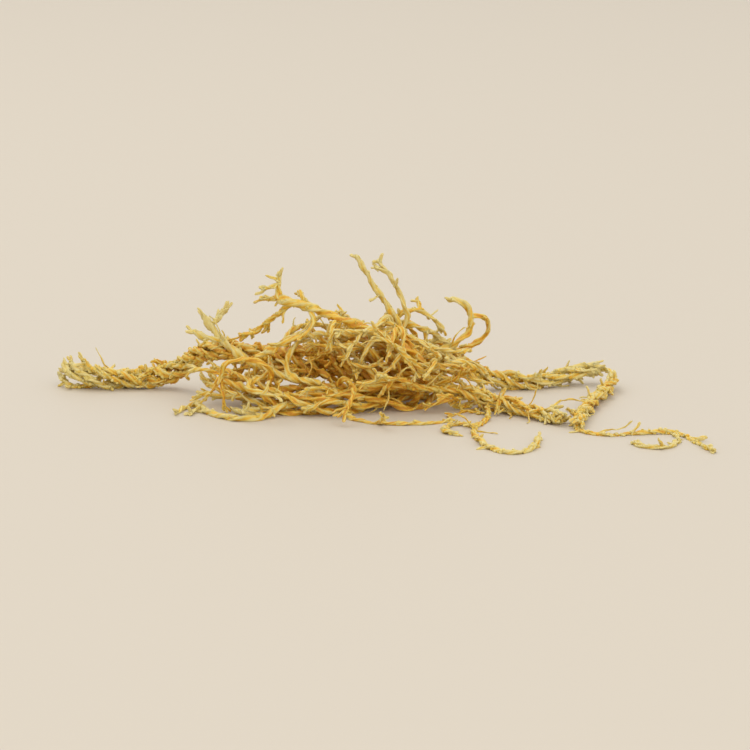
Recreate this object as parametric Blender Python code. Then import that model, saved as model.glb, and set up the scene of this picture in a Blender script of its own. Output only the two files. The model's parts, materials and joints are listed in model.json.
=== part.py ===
"""A loose tuft of dried Irish moss, lying on a table.

The tuft is a tangle of separate fronds. Each frond is one branching, wiry plant and is one object here:
its strands grow out of each other and are fused. Fronds pass over and under each other and stay clear.

Lengths below are in millimetres, and the meshes are written in metres. +X runs along the tuft, +Y away
from the eye and +Z up. The origin is under the middle of the tuft, on the table.
"""

import math
import random

import bmesh
import bpy
import numpy as np
from mathutils import Matrix, Vector

MM = 0.001

# Driving dimensions of the strands
STEP = 2.3  # length of one straight run of a strand
STOUT = 0.52  # radius of a thick stem
WIRY = 0.42  # radius of an ordinary strand
FINE = 0.33  # radius of a thin branch
TIP = 0.29  # radius at a thin branch's end
THICK_SIDES = 6
THIN_SIDES = 5

# How the tangle lies
FROND_GAP = 0.34  # clear space between two fronds
STRAND_GAP = 0.12  # clear space between two strands of one frond
PRESSED = 0.12  # how much of a strand's underside is flattened where it lies on the table
SETTLING_ROUNDS = 150
PUSH = 0.55  # share of an overlap that one round takes away
STIFFNESS = 0.35  # how far a push is passed on along its strand
SAG = 0.015  # how far the slack fronds sink in one round

# The mound that the slack fronds are heaped in: its middle, its half sizes, and how flat its strands lie
MOUND = np.array([-4.0, 0.8, 3.6])
MOUND_REACH = np.array([20.0, 13.0, 8.6])
FLATTER = np.array([1.0, 1.0, 0.8])

# Colours of the dried fronds, linear
STRAW = (0.60, 0.43, 0.12)
GOLD = (0.52, 0.31, 0.06)
AMBER = (0.42, 0.19, 0.03)
ROUGHNESS = 0.45

TABLE = 0.0  # the height given to points that lie on the table: the strand is then lifted to rest there


class Strand:
    """One tapering strand: its centreline, its radii, and the point of its parent that it grows from."""

    def __init__(self, points, base, tip, parent=None, at=0):
        self.points = points
        self.radii = np.linspace(base, tip, len(points))
        if not parent:
            self.radii[0] *= 0.65
        self.parent = parent
        self.at = at


def unit(vector):
    return vector / max(np.linalg.norm(vector), 1e-9)


def turned(vector, axis, angle):
    """The vector turned about the axis, which has length 1."""
    return (
        vector * math.cos(angle)
        + np.cross(axis, vector) * math.sin(angle)
        + axis * (axis @ vector) * (1 - math.cos(angle))
    )


def smooth(route):
    """Points a step apart on a smooth curve through the route's own points."""
    route = np.array(route, float)
    framed = np.vstack([2 * route[0] - route[1], route, 2 * route[-1] - route[-2]])
    shares = np.linspace(0, 1, 12, endpoint=False)[:, None]
    spans = [
        b + 0.5 * shares * (c - a + shares * (2 * a - 5 * b + 4 * c - d + shares * (3 * (b - c) + d - a)))
        for a, b, c, d in zip(framed, framed[1:], framed[2:], framed[3:])
    ]
    fine = np.vstack(spans + [route[-1:]])
    along = np.concatenate([[0.0], np.cumsum(np.linalg.norm(np.diff(fine, axis=0), axis=1))])
    marks = np.linspace(0, along[-1], max(1, round(along[-1] / STEP)) + 1)
    return np.stack([np.interp(marks, along, fine[:, k]) for k in range(3)], axis=1)


class Frond:
    """One plant: strands that grow out of each other. give is how easily its strands are pushed aside."""

    def __init__(self, name, colour, seed, give):
        self.name = name
        self.colour = colour
        self.give = give
        self.rng = random.Random(seed)
        self.strands = []

    def drawn(self):
        """A random direction."""
        return unit(np.array([self.rng.gauss(0, 1) for _ in range(3)]))

    def stem(self, route, base, tip, parent=None):
        """A strand along a route chosen by hand. With a parent, it starts at the parent's nearest point."""
        at = 0
        if parent:
            at = int(np.argmin(np.linalg.norm(parent.points - np.array(route[0]), axis=1)))
            route = [parent.points[at], *route[1:]]
            base = min(base, 0.8 * parent.radii[at])
        points = smooth(route)
        self.strands.append(Strand(points, base, tip, parent, at))
        return self.strands[-1]

    def grow(self, parent, at, heading, length, base, tip, curl, rise, heaped):
        """A strand that wanders: it turns steadily about a drawn axis, wavers, and climbs or sinks.

        A heaped strand lies rather flat, and is drawn back wherever it leaves the mound.
        """
        axis = unit(np.cross(heading, self.drawn()))
        points = [parent.points[at]]
        for _ in range(max(1, round(length / STEP))):
            heading = unit(turned(heading, axis, curl) + 0.14 * self.drawn() + np.array([0, 0, rise]))
            outside = (points[-1] - MOUND) / MOUND_REACH
            if heaped:
                heading = unit(heading * FLATTER - 0.7 * outside * (np.linalg.norm(outside) > 1))
            following = points[-1] + STEP * heading
            following[2] = max(following[2], 0.3)
            points.append(following)
        base = min(base, 0.8 * parent.radii[at])
        self.strands.append(Strand(np.array(points), base, min(tip, base), parent, at))
        return self.strands[-1]

    def sprout(self, parent, count, length, base=FINE, tip=TIP, angle=42, curl=8, rise=0.0, span=(0.15, 0.95),
               heaped=False, tips=False):
        """Side branches spread along a strand by rule. With tips, every third one ends in a small fork."""
        grown = []
        low, high = span
        for k in range(count):
            share = low + (high - low) * (k + self.rng.uniform(0.25, 0.75)) / count
            at = min(max(round(share * (len(parent.points) - 1)), 1), len(parent.points) - 1)
            along = unit(parent.points[at] - parent.points[at - 1])
            aside = unit(np.cross(along, self.drawn()))
            heading = turned(along, aside, math.radians(angle * self.rng.uniform(0.75, 1.3)))
            bend = math.radians(curl * self.rng.uniform(0.4, 1.6))
            reach = length * self.rng.uniform(0.7, 1.3)
            grown.append(self.grow(parent, at, heading, reach, base, tip, bend, rise, heaped))
        if tips:
            for strand in grown[::3]:
                self.forked_tip(strand)
        return grown

    def forked_tip(self, strand, length=4.5, angle=26):
        """Two short tips that part at the strand's end."""
        along = unit(strand.points[-1] - strand.points[-2])
        aside = unit(np.cross(along, self.drawn()))
        for side in (-1, 1):
            heading = turned(along, aside, math.radians(side * angle))
            base = strand.radii[-1]
            self.grow(strand, len(strand.points) - 1, heading, length, base, TIP, 0.12, 0.0, False)

    def rope(self, route, count, radius, turns, tip, parent, loose):
        """Several strands that leave the parent's end together and twist round one route.

        loose tells how wide the rope is at even marks along the route: 1 where its strands almost touch.
        """
        middle = smooth(route)
        along = np.gradient(middle, axis=0)
        along /= np.linalg.norm(along, axis=1)[:, None]
        side = unit(np.cross(along[0], np.array([0.0, 0.0, 1.0])))
        shares = np.linspace(0, 1, len(middle))
        offset = (radius + 0.5 * STRAND_GAP) / math.sin(math.pi / count)
        width = offset * np.interp(shares, np.linspace(0, 1, len(loose)), loose)
        width *= np.minimum(1, np.arange(len(middle)) / 1.5)
        routes = [[] for _ in range(count)]
        for share, point, ahead, wide in zip(shares, middle, along, width):
            side = unit(side - ahead * (ahead @ side))
            for k, points in enumerate(routes):
                angle = 2 * math.pi * (k / count + turns * share)
                points.append(point + wide * turned(side, ahead, angle))
        twisted = [Strand(np.array(points), radius, tip, parent, len(parent.points) - 1) for points in routes]
        for strand in twisted:
            strand.points[0] = parent.points[-1]
        self.strands.extend(twisted)
        return twisted


def left_rope_frond():
    """The thick twisted arm on the left. Its strands come from deep in the heap. It rests on the table."""
    frond = Frond("left_rope_frond", GOLD, 11, 0.35)
    root = frond.stem([(6.5, 1.0, 1.6), (3.6, 1.0, 2.2), (1.0, 1.4, 3.0)], STOUT * 0.8, STOUT * 1.15)
    arm = [(1.0, 1.4, 3.0), (-3.4, 2.6, 4.9), (-8.0, 3.8, 6.0), (-13.6, 5.0, 6.5), (-18.0, 6.0, 6.8),
           (-22.4, 7.4, 7.2), (-25.4, 10.4, 6.0), (-28.0, 12.8, 3.8), (-31.4, 14.2, 2.0),
           (-36.0, 14.0, 1.6), (-40.0, 13.6, 1.6), (-43.4, 14.2, 1.9), (-45.2, 16.0, 2.6)]
    loose = (1.5, 1.4, 1.2, 0.95, 1.0, 1.25, 1.3, 1.1)
    strands = frond.rope(arm, 5, 0.46, 3.6, tip=0.4, parent=root, loose=loose)
    for strand in strands[::2]:
        frond.sprout(strand, 2, 2.4, angle=60, span=(0.66, 1.0))
    frond.sprout(strands[1], 2, 11, base=WIRY, curl=20, span=(0.05, 0.4), heaped=True)
    frond.sprout(strands[3], 2, 11, base=WIRY, curl=20, span=(0.1, 0.45), heaped=True, tips=True)
    return frond


def left_fork_frond():
    """The stout, blunt sprig that stands up at the left of the heap."""
    frond = Frond("left_fork_frond", STRAW, 23, 0.25)
    main = frond.stem([(-8.0, -2.6, 3.4), (-13.0, -1.6, 4.4), (-17.0, 0.6, 5.6), (-20.0, 2.0, 7.2),
                       (-22.2, 2.6, 8.9), (-23.7, 3.0, 10.8), (-25.2, 3.0, 13.0)], STOUT, STOUT)
    frond.stem([(-22.4, 2.6, 9.0), (-24.6, 1.2, 9.8), (-26.4, 0.2, 11.0)], WIRY, WIRY, main)
    twig = frond.stem([(-23.4, 3.0, 10.4), (-22.7, 4.0, 11.6), (-22.4, 4.2, 12.4)], FINE, FINE, main)
    frond.stem([twig.points[-1], (-21.4, 4.6, 13.2)], FINE, TIP, twig)
    low = frond.sprout(main, 3, 12, base=WIRY, angle=50, curl=22, rise=-0.1, span=(0.05, 0.55), heaped=True)
    frond.sprout(low[0], 1, 6, angle=50, curl=20)
    return frond


def antler_frond():
    """The stout stem that arches over the left of the heap, with a spray of tips like an antler."""
    frond = Frond("antler_frond", GOLD, 31, 0.2)
    main = frond.stem([(9.6, 1.0, 3.4), (6.4, 0.2, 6.4), (2.6, -0.8, 9.4), (-0.7, -1.0, 11.1),
                       (-3.6, -1.0, 12.3), (-6.5, -0.6, 13.2), (-9.3, -0.3, 14.1), (-12.2, 0.0, 15.2),
                       (-14.2, 0.0, 15.7)], WIRY, STOUT * 1.2)
    tall = frond.stem([(-13.4, 0.0, 15.5), (-14.1, 0.2, 17.4), (-14.2, 0.4, 19.6)], WIRY, TIP, main)
    frond.stem([tall.points[1], (-15.4, -0.9, 17.0), (-16.6, -1.6, 17.2)], FINE, FINE, tall)
    frond.stem([(-14.2, 0.0, 15.7), (-15.4, 1.4, 15.4), (-16.8, 2.4, 15.4)], FINE, TIP, main)
    frond.stem([(-10.8, 0.0, 14.6), (-11.4, 1.2, 16.6)], 0.38, 0.38, main)
    low = frond.stem([(-12.6, 0.0, 15.2), (-14.0, 0.8, 13.6), (-15.6, 1.6, 12.2), (-17.4, 2.2, 10.8),
                      (-19.6, 2.8, 9.8)], 0.38, FINE, main)
    frond.sprout(low, 2, 2.4, angle=60, span=(0.45, 0.9))
    side = [(-8.8, 0.0, 13.8), (-9.2, -2.0, 12.0), (-11.6, -2.9, 10.6), (-14.6, -3.2, 9.6)]
    frond.stem(side, FINE, TIP, main)
    frond.sprout(main, 3, 12, base=WIRY, span=(0.0, 0.4), curl=20, rise=-0.08, heaped=True, tips=True)
    return frond


def tall_pair_frond():
    """The two tallest strands, which stand up side by side from the crown of the heap."""
    frond = Frond("tall_pair_frond", STRAW, 47, 0.2)
    main = frond.stem([(8.0, 7.0, 2.6), (6.0, 6.0, 5.0), (4.0, 4.8, 8.4), (2.4, 3.4, 12.3),
                       (0.0, 2.2, 16.2), (-1.6, 1.2, 19.2), (-3.2, 0.2, 21.9)], STOUT, 0.36)
    other = frond.stem([(3.4, 4.2, 9.8), (4.2, 4.4, 12.4), (3.2, 4.4, 15.0), (2.2, 4.0, 17.6),
                        (0.9, 3.2, 19.2), (-0.4, 2.9, 19.8)], WIRY, FINE, main)
    frond.stem([other.points[-2], (-0.1, 3.8, 20.8)], FINE, TIP, other)
    frond.sprout(main, 4, 13, base=WIRY, span=(0.0, 0.42), curl=22, rise=-0.06, heaped=True, tips=True)
    return frond


def hook_frond():
    """The strand at the right of the crown that curls back over itself, with a closed loop beside it."""
    frond = Frond("hook_frond", GOLD, 53, 0.2)
    main = frond.stem([(-3.0, 2.0, 2.2), (1.5, 3.6, 3.6), (6.0, 5.2, 6.0), (9.4, 6.6, 7.6),
                       (11.6, 7.0, 9.0), (12.9, 7.0, 11.1), (12.7, 7.0, 13.0), (11.4, 7.0, 14.4),
                       (9.8, 7.0, 14.7)], STOUT, WIRY)
    round_back = [(12.8, 7.0, 11.6), (14.6, 7.8, 11.9), (15.6, 9.0, 10.4), (14.8, 9.6, 8.4),
                  (12.2, 9.8, 7.0), (8.6, 10.4, 6.2), (4.6, 11.6, 4.6), (0.6, 12.2, 3.4)]
    loop = frond.stem(round_back, 0.4, FINE, main)
    frond.sprout(loop, 2, 5, angle=45, curl=20, span=(0.65, 1.0))
    frond.sprout(main, 4, 13, base=WIRY, span=(0.0, 0.45), curl=22, heaped=True, tips=True)
    return frond


def right_arm_frond():
    """The long twisted arm to the right, which turns back at its end and runs on as one thin strand."""
    frond = Frond("right_arm_frond", GOLD, 61, 0.3)
    root = frond.stem([(-8.0, 7.0, 3.6), (-5.0, 8.2, 4.6), (-2.0, 9.0, 5.6)], STOUT, STOUT * 1.15)
    arm = [(-2.0, 9.0, 5.6), (3.0, 9.4, 6.8), (8.6, 10.4, 6.2), (12.0, 12.0, 4.3), (16.0, 13.0, 2.1),
           (20.5, 13.2, 1.1), (25.0, 15.0, 1.3), (29.0, 17.0, 1.9), (32.0, 18.0, 2.3)]
    ropes = frond.rope(arm, 4, 0.4, 2.4, tip=0.36, parent=root, loose=(1.3, 1.1, 1.0, 0.9, 1.0, 1.0, 1.0))
    frond.sprout(ropes[1], 3, 2.4, angle=60, span=(0.4, 0.95))
    frond.sprout(ropes[2], 2, 2.4, angle=60, span=(0.5, 0.95))
    turn = frond.stem([ropes[0].points[-1], (33.2, 17.4, 2.0), (33.6, 15.4, 1.6)], 0.42, 0.42, ropes[0])
    back = [(33.6, 15.4, 1.6), (33.2, 11.0, 1.1), (31.4, 4.0, 0.9), (29.4, -4.0, 0.9), (28.1, -11.0, 0.8),
            (27.8, -15.8, 0.6)]
    pair = frond.rope(back, 3, 0.38, 2.2, tip=0.34, parent=turn, loose=(1.0, 1.1, 1.0, 1.2))
    frond.sprout(pair[1], 2, 2.4, angle=60, span=(0.3, 0.95))
    runner = frond.stem([pair[0].points[-1], (28.4, -17.8, TABLE), (31.4, -19.8, TABLE),
                         (35.2, -19.0, TABLE), (38.6, -18.4, TABLE), (41.6, -19.4, TABLE),
                         (43.7, -25.0, TABLE), (45.5, -31.0, TABLE)], 0.44, 0.36, pair[0])
    frond.stem([(41.4, -19.6, TABLE), (41.2, -24.2, TABLE), (39.4, -28.0, TABLE), (36.6, -28.4, TABLE),
                (35.0, -25.2, TABLE)], 0.4, 0.36, runner)
    frond.sprout(root, 2, 12, base=WIRY, curl=20, heaped=True, tips=True)
    return frond


def front_arc_frond():
    """The smooth arc on the table in front, at the left, with a frayed end."""
    frond = Frond("front_arc_frond", STRAW, 71, 0.3)
    main = frond.stem([(2.0, -1.0, 4.0), (-3.0, -1.6, 3.4), (-7.5, -3.0, 2.2), (-11.4, -4.2, 1.2),
                       (-14.4, -6.4, 0.4), (-17.6, -9.4, TABLE), (-20.8, -8.8, TABLE), (-23.7, -5.0, TABLE),
                       (-25.8, 0.4, 0.4)], 0.48, 0.44)
    frond.stem([main.points[-1], (-27.6, -1.6, TABLE), (-28.6, -5.2, TABLE)], 0.34, TIP, main)
    frond.stem([main.points[-2], (-26.6, -5.6, TABLE)], 0.34, TIP, main)
    frond.sprout(main, 2, 13, base=0.4, span=(0.0, 0.3), angle=45, curl=22, heaped=True, tips=True)
    frond.sprout(main, 2, 8, base=0.36, span=(0.35, 0.6), angle=35, curl=20, rise=-0.05, heaped=True)
    return frond


def front_loops_frond():
    """The knobbly bundle that leaves the heap at the front right, and the loops of thin strand before it."""
    frond = Frond("front_loops_frond", GOLD, 83, 0.35)
    root = frond.stem([(1.6, -3.4, 4.6), (4.6, -3.0, 4.6), (8.6, -1.8, 3.8)], WIRY, STOUT)
    bundle = [(8.6, -1.8, 3.8), (13.6, -1.6, 2.3), (17.9, -4.0, 1.3), (22.2, -8.2, 1.1), (25.4, -12.6, 1.1)]
    ropes = frond.rope(bundle, 4, 0.38, 1.4, tip=FINE, parent=root, loose=(1.0, 1.1, 1.3))
    for strand in ropes:
        frond.sprout(strand, 2, 2.4, angle=60, span=(0.3, 1.0))
    loop = frond.stem([ropes[0].points[3], (15.4, -9.0, TABLE), (13.4, -15.4, TABLE), (13.6, -22.0, TABLE),
                       (15.4, -29.0, TABLE), (18.6, -32.0, TABLE), (21.0, -28.6, TABLE), (22.2, -22.0, TABLE)],
                      0.42, 0.4, ropes[0])
    frond.stem([(13.4, -15.0, TABLE), (11.4, -12.6, TABLE), (9.5, -14.4, TABLE), (9.3, -18.0, TABLE),
                (11.1, -19.8, TABLE)], 0.4, 0.38, loop)
    frond.sprout(root, 2, 11, base=0.4, curl=22, heaped=True)
    return frond


def front_mat_frond():
    """The stout strands that lie side by side along the front of the heap."""
    frond = Frond("front_mat_frond", AMBER, 97, 0.45)
    root = frond.stem([(11.6, 5.0, 1.6), (9.0, 4.0, 2.2)], STOUT, STOUT * 1.1)
    band = [(9.0, 4.0, 2.2), (5.7, 1.4, 2.3), (0.7, -1.4, 2.0), (-3.2, -3.4, 1.4), (-6.6, -4.6, 1.1),
            (-11.0, -4.6, 1.1), (-16.5, -1.0, 1.5), (-20.5, 2.0, 2.1), (-24.4, 4.0, 2.9)]
    strands = frond.rope(band, 5, 0.44, 1.3, tip=FINE, parent=root, loose=(1.2, 1.5, 1.8, 1.5, 1.6, 1.8))
    for strand in strands:
        frond.sprout(strand, 1, 9, base=0.4, angle=35, curl=18, rise=-0.03, span=(0.25, 0.8), heaped=True)
    under = frond.stem([strands[0].points[7], (-4.0, -8.4, TABLE), (1.0, -12.2, TABLE), (6.6, -12.0, TABLE),
                        (10.4, -9.6, TABLE)], 0.4, TIP, strands[0])
    frond.sprout(under, 1, 5, angle=40, curl=14, rise=-0.05)
    frond.stem([strands[2].points[-4], (-24.0, -1.0, 2.0), (-26.0, -1.4, 1.8)], FINE, TIP, strands[2])
    frond.stem([strands[4].points[-3], (-24.6, 0.6, 4.8), (-26.6, 0.4, 4.6)], FINE, TIP, strands[4])
    return frond


def crown_frond():
    """The small arches and spikes along the top of the heap."""
    frond = Frond("crown_frond", GOLD, 101, 0.5)
    main = frond.stem([(-10.0, 3.0, 7.6), (-6.0, 3.6, 9.8), (-1.6, 4.4, 10.6), (3.0, 6.4, 10.8),
                       (7.0, 7.8, 9.8), (10.6, 9.6, 7.2)], WIRY, 0.4)
    frond.stem([(-6.0, 3.6, 9.8), (-5.4, 3.2, 11.8), (-5.0, 3.0, 13.9)], 0.36, TIP, main)
    small_arch = [(-4.6, 3.8, 10.0), (-3.6, 4.0, 12.0), (-1.8, 3.6, 11.8), (-0.4, 2.2, 10.0)]
    frond.stem(small_arch, 0.32, TIP, main)
    arch = frond.stem([(2.0, 6.0, 10.8), (3.8, 5.8, 12.6), (6.2, 6.2, 13.0), (8.4, 6.8, 11.6),
                       (9.6, 7.6, 9.8)], 0.36, FINE, main)
    frond.stem([arch.points[-3], (6.6, 8.0, 13.0), (5.9, 8.0, 14.4)], 0.32, TIP, arch)
    frond.sprout(main, 6, 11, base=0.36, angle=45, curl=24, heaped=True, tips=True)
    return frond


def heaped_frond(name, colour, seed, route, count, length):
    """A slack frond of the heap itself: a stem through it and curled branches that stay in it."""
    frond = Frond(name, colour, seed, 1.0)
    main = frond.stem(route, STOUT, FINE)
    sides = frond.sprout(main, count, length, base=0.42, angle=48, curl=22, heaped=True, tips=True)
    for strand in sides[1::3]:
        frond.sprout(strand, 1, 7, span=(0.4, 0.8), curl=22, heaped=True)
    return frond


def all_fronds():
    """Every frond, the ones whose place is seen first and the slack ones of the heap after them."""
    return [
        left_rope_frond(),
        left_fork_frond(),
        antler_frond(),
        tall_pair_frond(),
        hook_frond(),
        right_arm_frond(),
        front_arc_frond(),
        front_loops_frond(),
        front_mat_frond(),
        crown_frond(),
        heaped_frond("low_heap_frond", AMBER, 113,
                     [(-22.0, 1.0, 3.4), (-15.0, -1.0, 2.4), (-6.0, -1.0, 3.2), (2.0, 4.0, 2.0),
                      (8.0, 6.4, 1.6), (14.0, 5.6, 1.8), (19.0, 3.0, 1.2)],
                     8, 12),
        heaped_frond("middle_heap_frond", AMBER, 127,
                     [(-18.0, 9.0, 4.6), (-10.0, 8.0, 6.8), (-2.0, 5.4, 6.4), (5.0, 1.0, 4.8),
                      (12.0, -1.0, 4.0)],
                     7, 12),
        heaped_frond("back_heap_frond", GOLD, 131,
                     [(-19.0, 11.0, 2.4), (-10.0, 13.6, 3.6), (0.0, 14.4, 3.4), (10.0, 15.6, 2.2)],
                     6, 13),
        heaped_frond("upper_heap_frond", GOLD, 149,
                     [(-17.0, -1.0, 6.4), (-11.0, 1.4, 9.0), (-5.0, 1.0, 10.0), (1.0, 1.0, 10.0),
                      (6.0, 2.5, 8.6), (11.0, 3.0, 6.0)],
                     8, 11),
    ]


class Tangle:
    """The points of all strands in one array, so that they can be moved together, and what each may touch."""

    def __init__(self, fronds):
        self.strands = [strand for frond in fronds for strand in frond.strands]
        sizes = [len(strand.points) for strand in self.strands]
        first = np.concatenate([[0], np.cumsum(sizes)])
        place = {id(strand): first[k] for k, strand in enumerate(self.strands)}
        self.slices = [slice(first[k], first[k + 1]) for k in range(len(sizes))]
        self.points = np.vstack([strand.points for strand in self.strands])
        self.rest = self.points.copy()
        self.radii = np.concatenate([strand.radii for strand in self.strands])
        self.roots = [
            (first[k], place[id(strand.parent)] + strand.at)
            for k, strand in enumerate(self.strands)
            if strand.parent
        ]
        gives = [frond.give for frond in fronds for _ in frond.strands]
        self.give = np.concatenate([np.full(size, give) for size, give in zip(sizes, gives)])
        index = np.arange(len(self.points))
        self.before, self.after = index - 1, index + 1
        for piece in self.slices:
            self.before[piece.start], self.after[piece.stop - 1] = piece.start, piece.stop - 1
        self.runs = np.concatenate([np.arange(piece.start, piece.stop - 1) for piece in self.slices])
        self.strand_of = np.concatenate([np.full(size - 1, k) for k, size in enumerate(sizes)])
        owners = [k for k, frond in enumerate(fronds) for _ in frond.strands]
        self.frond_of = np.array(owners)[self.strand_of]
        self.gaps = self.allowed_gaps()

    def allowed_gaps(self):
        """The clear space that each pair of runs needs: none for neighbours on a strand and at a root."""
        same_frond = self.frond_of[:, None] == self.frond_of[None, :]
        gaps = np.where(same_frond, STRAND_GAP, FROND_GAP)
        near = np.abs(self.runs[:, None] - self.runs[None, :]) <= 2
        gaps[near & (self.strand_of[:, None] == self.strand_of[None, :])] = -np.inf
        number = {run: k for k, run in enumerate(self.runs)}
        for child, parent in self.roots:
            own = number[child]
            for other in range(parent - 2, parent + 2):
                if other in number and self.strand_of[number[other]] == self.strand_holding(parent):
                    gaps[own, number[other]] = gaps[number[other], own] = -np.inf
            for sibling, same in self.roots:
                if abs(same - parent) <= 1:
                    gaps[own, number[sibling]] = gaps[number[sibling], own] = -np.inf
        return gaps

    def strand_holding(self, point):
        return next(k for k, piece in enumerate(self.slices) if piece.start <= point < piece.stop)

    def crowded_pairs(self):
        """Pairs of runs that are too close, with where on each run, how much too close, and the way apart."""
        start, end = self.points[self.runs], self.points[self.runs + 1]
        radius = np.maximum(self.radii[self.runs], self.radii[self.runs + 1])
        middle, half = (start + end) / 2, np.linalg.norm(end - start, axis=1) / 2
        reach = half + radius
        apart = np.linalg.norm(middle[:, None] - middle[None, :], axis=2)
        a, b = np.nonzero(np.triu(apart < reach[:, None] + reach[None, :] + self.gaps, 1))
        along_a, along_b, between = end[a] - start[a], end[b] - start[b], start[a] - start[b]
        aa, bb, ab = (along_a ** 2).sum(1), (along_b ** 2).sum(1), (along_a * along_b).sum(1)
        da, db = (along_a * between).sum(1), (along_b * between).sum(1)
        share_a = np.clip((ab * db - bb * da) / np.maximum(aa * bb - ab * ab, 1e-9), 0, 1)
        share_b = np.clip((ab * share_a + db) / bb, 0, 1)
        share_a = np.clip((ab * share_b - da) / aa, 0, 1)
        way = between + share_a[:, None] * along_a - share_b[:, None] * along_b
        distance = np.linalg.norm(way, axis=1)
        short = radius[a] + radius[b] + self.gaps[a, b] - distance
        crowded = short > 0
        way = np.where(distance[:, None] > 1e-6, way / np.maximum(distance, 1e-6)[:, None], [0.0, 0.0, 1.0])
        return a[crowded], b[crowded], share_a[crowded], share_b[crowded], short[crowded], way[crowded]

    def part(self):
        """Pushes crowded runs apart once, and returns the largest overlap that there was."""
        a, b, share_a, share_b, short, way = self.crowded_pairs()
        if not len(a):
            return 0.0
        push = np.zeros_like(self.points)
        count = np.zeros(len(self.points))
        give_a, give_b = self.give[self.runs[a]], self.give[self.runs[b]]
        for run, share, give, sign in ((a, share_a, give_a, 1), (b, share_b, give_b, -1)):
            step = sign * (PUSH * short * give / (give_a + give_b))[:, None] * way
            for point, weight in ((self.runs[run], 1 - share), (self.runs[run] + 1, share)):
                np.add.at(push, point, 2 * weight[:, None] * step)
                np.add.at(count, point, weight)
        for child, parent in self.roots:
            push[parent] += push[child]
            count[parent] += count[child]
        self.points += push / np.maximum(count, 1)[:, None]
        return short.max()

    def ease(self):
        """Passes each push on along its strand, so that the strand bends and doesn't kink."""
        shift = self.points - self.rest
        mean = (shift[self.before] + shift[self.after]) / 2
        self.points += STIFFNESS * (mean - shift)

    def lay_down(self):
        """Keeps every strand on the table or above it, and every branch on its parent."""
        self.points[:, 2] = np.maximum(self.points[:, 2], self.radii - PRESSED)
        for child, parent in self.roots:
            self.points[child] = self.points[parent]

    def settle(self):
        """Lets the slack fronds sink and parts whatever touches, and last of all only parts."""
        slack = self.give >= 0.5
        for turn in range(SETTLING_ROUNDS):
            if turn < SETTLING_ROUNDS / 2:
                self.points[slack, 2] -= SAG
            overlap = self.part()
            if turn < SETTLING_ROUNDS * 0.8:
                self.ease()
            self.lay_down()
        for strand, piece in zip(self.strands, self.slices):
            strand.points = self.points[piece]
        return overlap


def centre(fronds):
    """Moves the tuft so that the middle of its box is over the origin."""
    strands = [strand for frond in fronds for strand in frond.strands]
    lows = np.min([(s.points - s.radii[:, None]).min(0) for s in strands], axis=0)
    highs = np.max([(s.points + s.radii[:, None]).max(0) for s in strands], axis=0)
    shift = (lows + highs) / 2
    shift[2] = 0
    for strand in strands:
        strand.points = strand.points - shift


def outline(sides):
    """A closed curve round which a strand of radius 1 is swept."""
    data = bpy.data.curves.new(f"outline_{sides}", "CURVE")
    spline = data.splines.new("POLY")
    spline.points.add(sides - 1)
    wide = math.sqrt(2 * math.pi / sides / math.sin(2 * math.pi / sides))  # the polygon has the circle's area
    for k, point in enumerate(spline.points):
        angle = 2 * math.pi * k / sides
        point.co = (wide * math.cos(angle), wide * math.sin(angle), 0, 1)
    spline.use_cyclic_u = True
    obj = bpy.data.objects.new(data.name, data)
    obj.hide_render = True
    return obj


def swept(strand, outlines):
    """The strand as a closed mesh object: an outline swept along its centreline, with the caps welded on."""
    data = bpy.data.curves.new("strand", "CURVE")
    data.dimensions = "3D"
    data.bevel_mode = "OBJECT"
    data.bevel_object = outlines[THICK_SIDES if strand.radii.max() > 0.4 else THIN_SIDES]
    data.use_fill_caps = True
    spline = data.splines.new("POLY")
    spline.points.add(len(strand.points) - 1)
    for point, place, radius in zip(spline.points, strand.points, strand.radii):
        point.co = (*(place * MM), 1)
        point.radius = radius * MM
    curve = bpy.data.objects.new("strand", data)
    bpy.context.scene.collection.objects.link(curve)
    bpy.context.view_layer.update()
    mesh = bpy.data.meshes.new_from_object(curve.evaluated_get(bpy.context.evaluated_depsgraph_get()))
    bpy.data.objects.remove(curve)
    welded = bmesh.new()
    welded.from_mesh(mesh)
    bmesh.ops.remove_doubles(welded, verts=welded.verts, dist=1e-6)
    bmesh.ops.recalc_face_normals(welded, faces=welded.faces)
    welded.to_mesh(mesh)
    welded.free()
    return bpy.data.objects.new("strand", mesh)


def applied(obj):
    """Puts the object's modifiers into its mesh."""
    bpy.context.view_layer.update()
    mesh = bpy.data.meshes.new_from_object(obj.evaluated_get(bpy.context.evaluated_depsgraph_get()))
    obj.modifiers.clear()
    obj.data = mesh


def table_cutter(cutters):
    """A block whose top is the table: it flattens what would reach through it."""
    bpy.ops.mesh.primitive_cube_add(size=1)
    block = bpy.context.object
    block.name = "table_cutter"
    block.data.transform(Matrix.Translation((0, 0, -0.5)))
    block.data.transform(Matrix.Diagonal(Vector((200 * MM, 200 * MM, 5 * MM, 1))))
    for collection in block.users_collection:
        collection.objects.unlink(block)
    cutters.objects.link(block)
    block.hide_render = True
    block.display_type = "WIRE"
    return block


def frond_material(name, colour):
    """A plain finish in the frond's colour."""
    material = bpy.data.materials.get(name) or bpy.data.materials.new(name)
    material.use_nodes = True
    shader = material.node_tree.nodes["Principled BSDF"]
    shader.inputs["Base Color"].default_value = (*colour, 1)
    shader.inputs["Roughness"].default_value = ROUGHNESS
    shader.inputs["Metallic"].default_value = 0
    return material


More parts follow.
